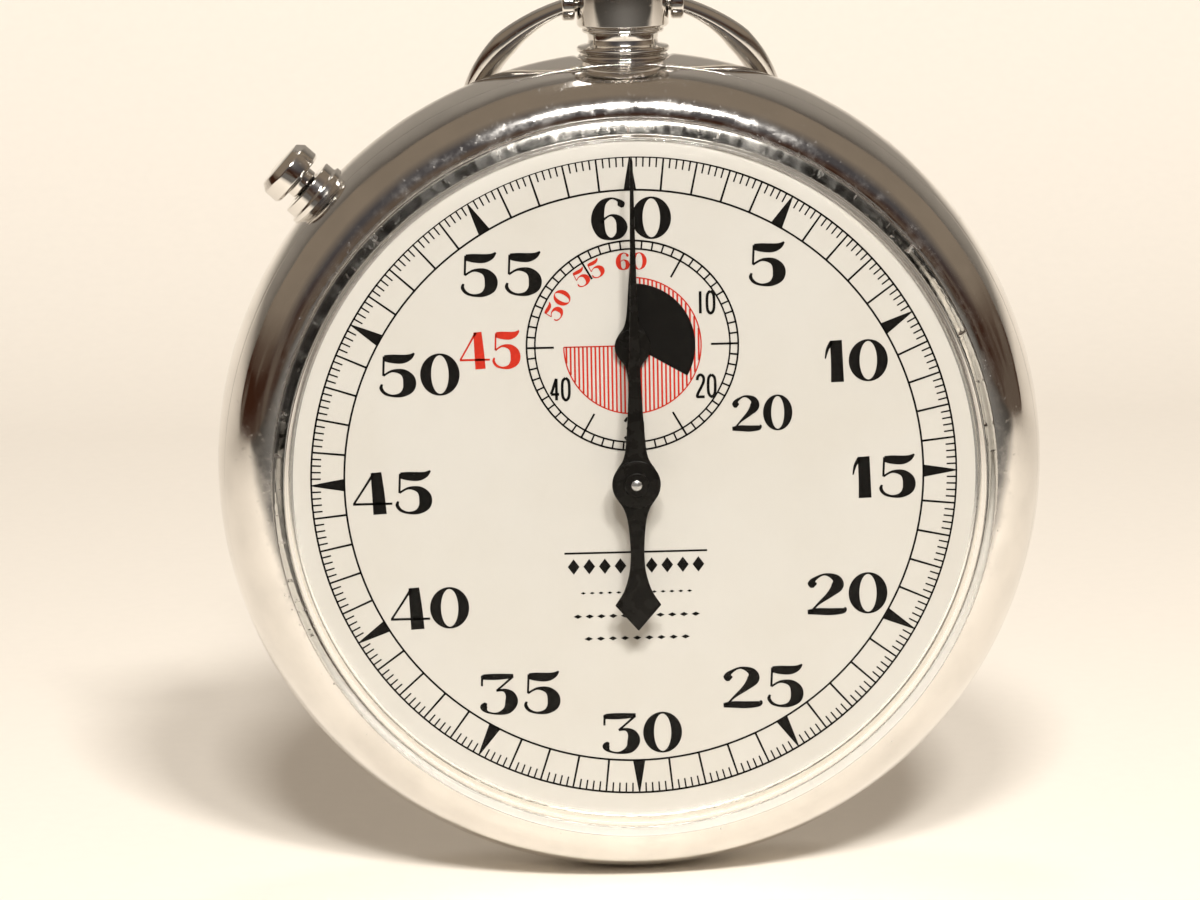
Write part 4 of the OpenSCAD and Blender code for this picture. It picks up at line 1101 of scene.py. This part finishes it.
MOVEMENT_FINISH = {"steel": "steel", "brass": "brass", "gilt_plate": "gilt",
                   "blued_steel": "blue", "ruby": "ruby"}


class STOPWATCH_OT_movement(bpy.types.Operator):
    """Give every piece of the movement its finish"""

    bl_idname = "stopwatch.movement"
    bl_label = "Movement"

    def execute(self, context):
        for part in frame["record"]["subparts"]:
            finish = MOVEMENT_FINISH.get(part["material_slot"])
            if finish:
                piece = frame["nodes"][part["node"]]
                piece.data.materials.clear()
                piece.data.materials.append(finish_of(finish))
        return {"FINISHED"}


# ---------------------------------------------------------------- stage

CAMERA_DISTANCE = 300                          # millimetres
CAMERA_UP, CAMERA_LEFT = math.radians(10.2), math.radians(2.4)
CAMERA_ROLL = math.radians(1.0)
CAMERA_AIM = (-1.84, 0.75, 0)
FRAME_WIDTH = 74.5                             # width of the view at the watch, millimetres


def camera():
    """The camera looks a little down at the dial, from slightly left of it."""
    data = bpy.data.cameras.new("camera")
    data.sensor_width = 36
    data.lens = 36 * CAMERA_DISTANCE / FRAME_WIDTH
    data.clip_start = 0.01
    eye = bpy.data.objects.new("camera", data)
    bpy.context.scene.collection.objects.link(eye)
    way = Vector((-math.sin(CAMERA_LEFT) * math.cos(CAMERA_UP), math.sin(CAMERA_UP),
                  math.cos(CAMERA_LEFT) * math.cos(CAMERA_UP)))
    aim = Vector(CAMERA_AIM)
    eye.location = stand(aim + way * CAMERA_DISTANCE)
    look = (stand(aim) - eye.location).to_track_quat("-Z", "Y")
    eye.rotation_mode = "QUATERNION"
    eye.rotation_quaternion = look
    eye.rotation_quaternion.rotate(Quaternion(stand(way).normalized(), -CAMERA_ROLL))
    bpy.context.scene.camera = eye


def lamp(name, place, aim, wide, high, power, tone):
    """A soft box at a place, aimed at a point."""
    data = bpy.data.lights.new(name, "AREA")
    data.shape = "RECTANGLE"
    data.size, data.size_y = wide, high
    data.energy = power
    data.color = tone
    light = bpy.data.objects.new(name, data)
    bpy.context.scene.collection.objects.link(light)
    light.location = place
    light.rotation_euler = (Vector(aim) - Vector(place)).to_track_quat("-Z", "Y").to_euler()


def room():
    """A taupe room, dark behind the viewer and along the horizon, with a brown patch or two."""
    world = bpy.data.worlds.new("room")
    bpy.context.scene.world = world
    g = Graph("room", world)
    where = g.add("ShaderNodeTexCoord").outputs["Generated"]
    part = g.add("ShaderNodeSeparateXYZ", {0: where}).outputs
    patches = g.ramp(g.noise(where, 2.3), 0.46, 0.56)
    front = g.ramp(part["Y"], -0.30, -0.72)
    above = g.mix(front, (0.27, 0.215, 0.16), (0.075, 0.068, 0.070))
    level = g.mix(patches, (0.13, 0.095, 0.070), (0.045, 0.016, 0.008))
    tone = g.mix(g.ramp(part["Z"], 0.12, 0.34), level, above)
    # the viewer sees pale paper where the floor ends, reflections see the room
    seen = g.add("ShaderNodeLightPath").outputs["Is Camera Ray"]
    g.shade(Color=g.mix(seen, tone, (0.90, 0.84, 0.74)), Strength=1.0)


class STOPWATCH_OT_stage(bpy.types.Operator):
    """Set the paper floor and backdrop, the soft lights and the camera"""

    bl_idname = "stopwatch.stage"
    bl_label = "Stage"

    def execute(self, context):
        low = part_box("case_middle")[0].z
        # metres: half the width, reach in front and behind, radius of the bend, the rest
        wide, front, back, bend, wall, beyond = 0.55, 0.7, 0.16, 0.12, 0.7, 0.9
        line = [(-front, low), (0, low), (back, low)]
        line += [(back + bend * math.sin(math.radians(a)),
                  low + bend - bend * math.cos(math.radians(a))) for a in range(10, 91, 10)]
        line += [(back + bend, low + wall)]
        points = [(x, y, z) for y, z in line for x in (-wide, wide)]
        faces = [[2 * i, 2 * i + 1, 2 * i + 3, 2 * i + 2] for i in range(len(line) - 1)]
        # the floor goes on behind the sheet
        points += [(x, beyond, low) for x in (-wide, wide)]
        faces.append([4, 5, len(points) - 1, len(points) - 2])
        mesh = bpy.data.meshes.new("paper_sweep")
        mesh.from_pydata(points, [], faces)
        mesh.shade_smooth()
        mesh.materials.append(paper())
        sweep = bpy.data.objects.new("paper_sweep", mesh)
        bpy.context.scene.collection.objects.link(sweep)
        for name, x, power in (("key_left", -0.03, 2.3), ("key_right", 0.10, 2.9)):
            lamp(name, (x, -0.453, 0.394), (0, 0, 0), 0.09, 0.07, power, (1, 0.968, 0.925))
        lamp("backdrop", (0, 0.14, 0.5), (0, 0.14, 0), 0.10, 0.10, 0.26, (1, 0.965, 0.915))
        room()
        camera()
        bpy.context.scene.view_settings.view_transform = "Standard"
        return {"FINISHED"}


# ---------------------------------------------------------------- add-on

PIECES = (STOPWATCH_OT_rim, STOPWATCH_OT_bezel, STOPWATCH_OT_back_cover, STOPWATCH_OT_crystal,
          STOPWATCH_OT_pendant, STOPWATCH_OT_winding_knob, STOPWATCH_OT_bow,
          STOPWATCH_OT_reset_button, STOPWATCH_OT_dial, STOPWATCH_OT_seconds_print,
          STOPWATCH_OT_numerals, STOPWATCH_OT_register_print, STOPWATCH_OT_ornament,
          STOPWATCH_OT_hands, STOPWATCH_OT_movement, STOPWATCH_OT_stage)


class STOPWATCH_PT_panel(bpy.types.Panel):
    """Lists the pieces of the stopwatch"""

    bl_idname = "STOPWATCH_PT_panel"
    bl_label = "Stopwatch"
    bl_space_type = "VIEW_3D"
    bl_region_type = "UI"
    bl_category = "Stopwatch"

    def draw(self, context):
        for piece in PIECES:
            self.layout.operator(piece.bl_idname)
        for group in (sizes(), colours()):
            for key in group.__annotations__:
                self.layout.prop(group, key)


CLASSES = (StopwatchSizes, StopwatchColours, *PIECES, STOPWATCH_PT_panel)


def register():
    for one in CLASSES:
        bpy.utils.register_class(one)
    bpy.types.Scene.stopwatch_sizes = PointerProperty(type=StopwatchSizes)
    bpy.types.Scene.stopwatch_colours = PointerProperty(type=StopwatchColours)


def unregister():
    del bpy.types.Scene.stopwatch_colours
    del bpy.types.Scene.stopwatch_sizes
    for one in reversed(CLASSES):
        bpy.utils.unregister_class(one)


def main():
    register()
    for piece in PIECES:
        group, name = piece.bl_idname.split(".")
        getattr(getattr(bpy.ops, group), name)()


if __name__ == "__main__":
    main()
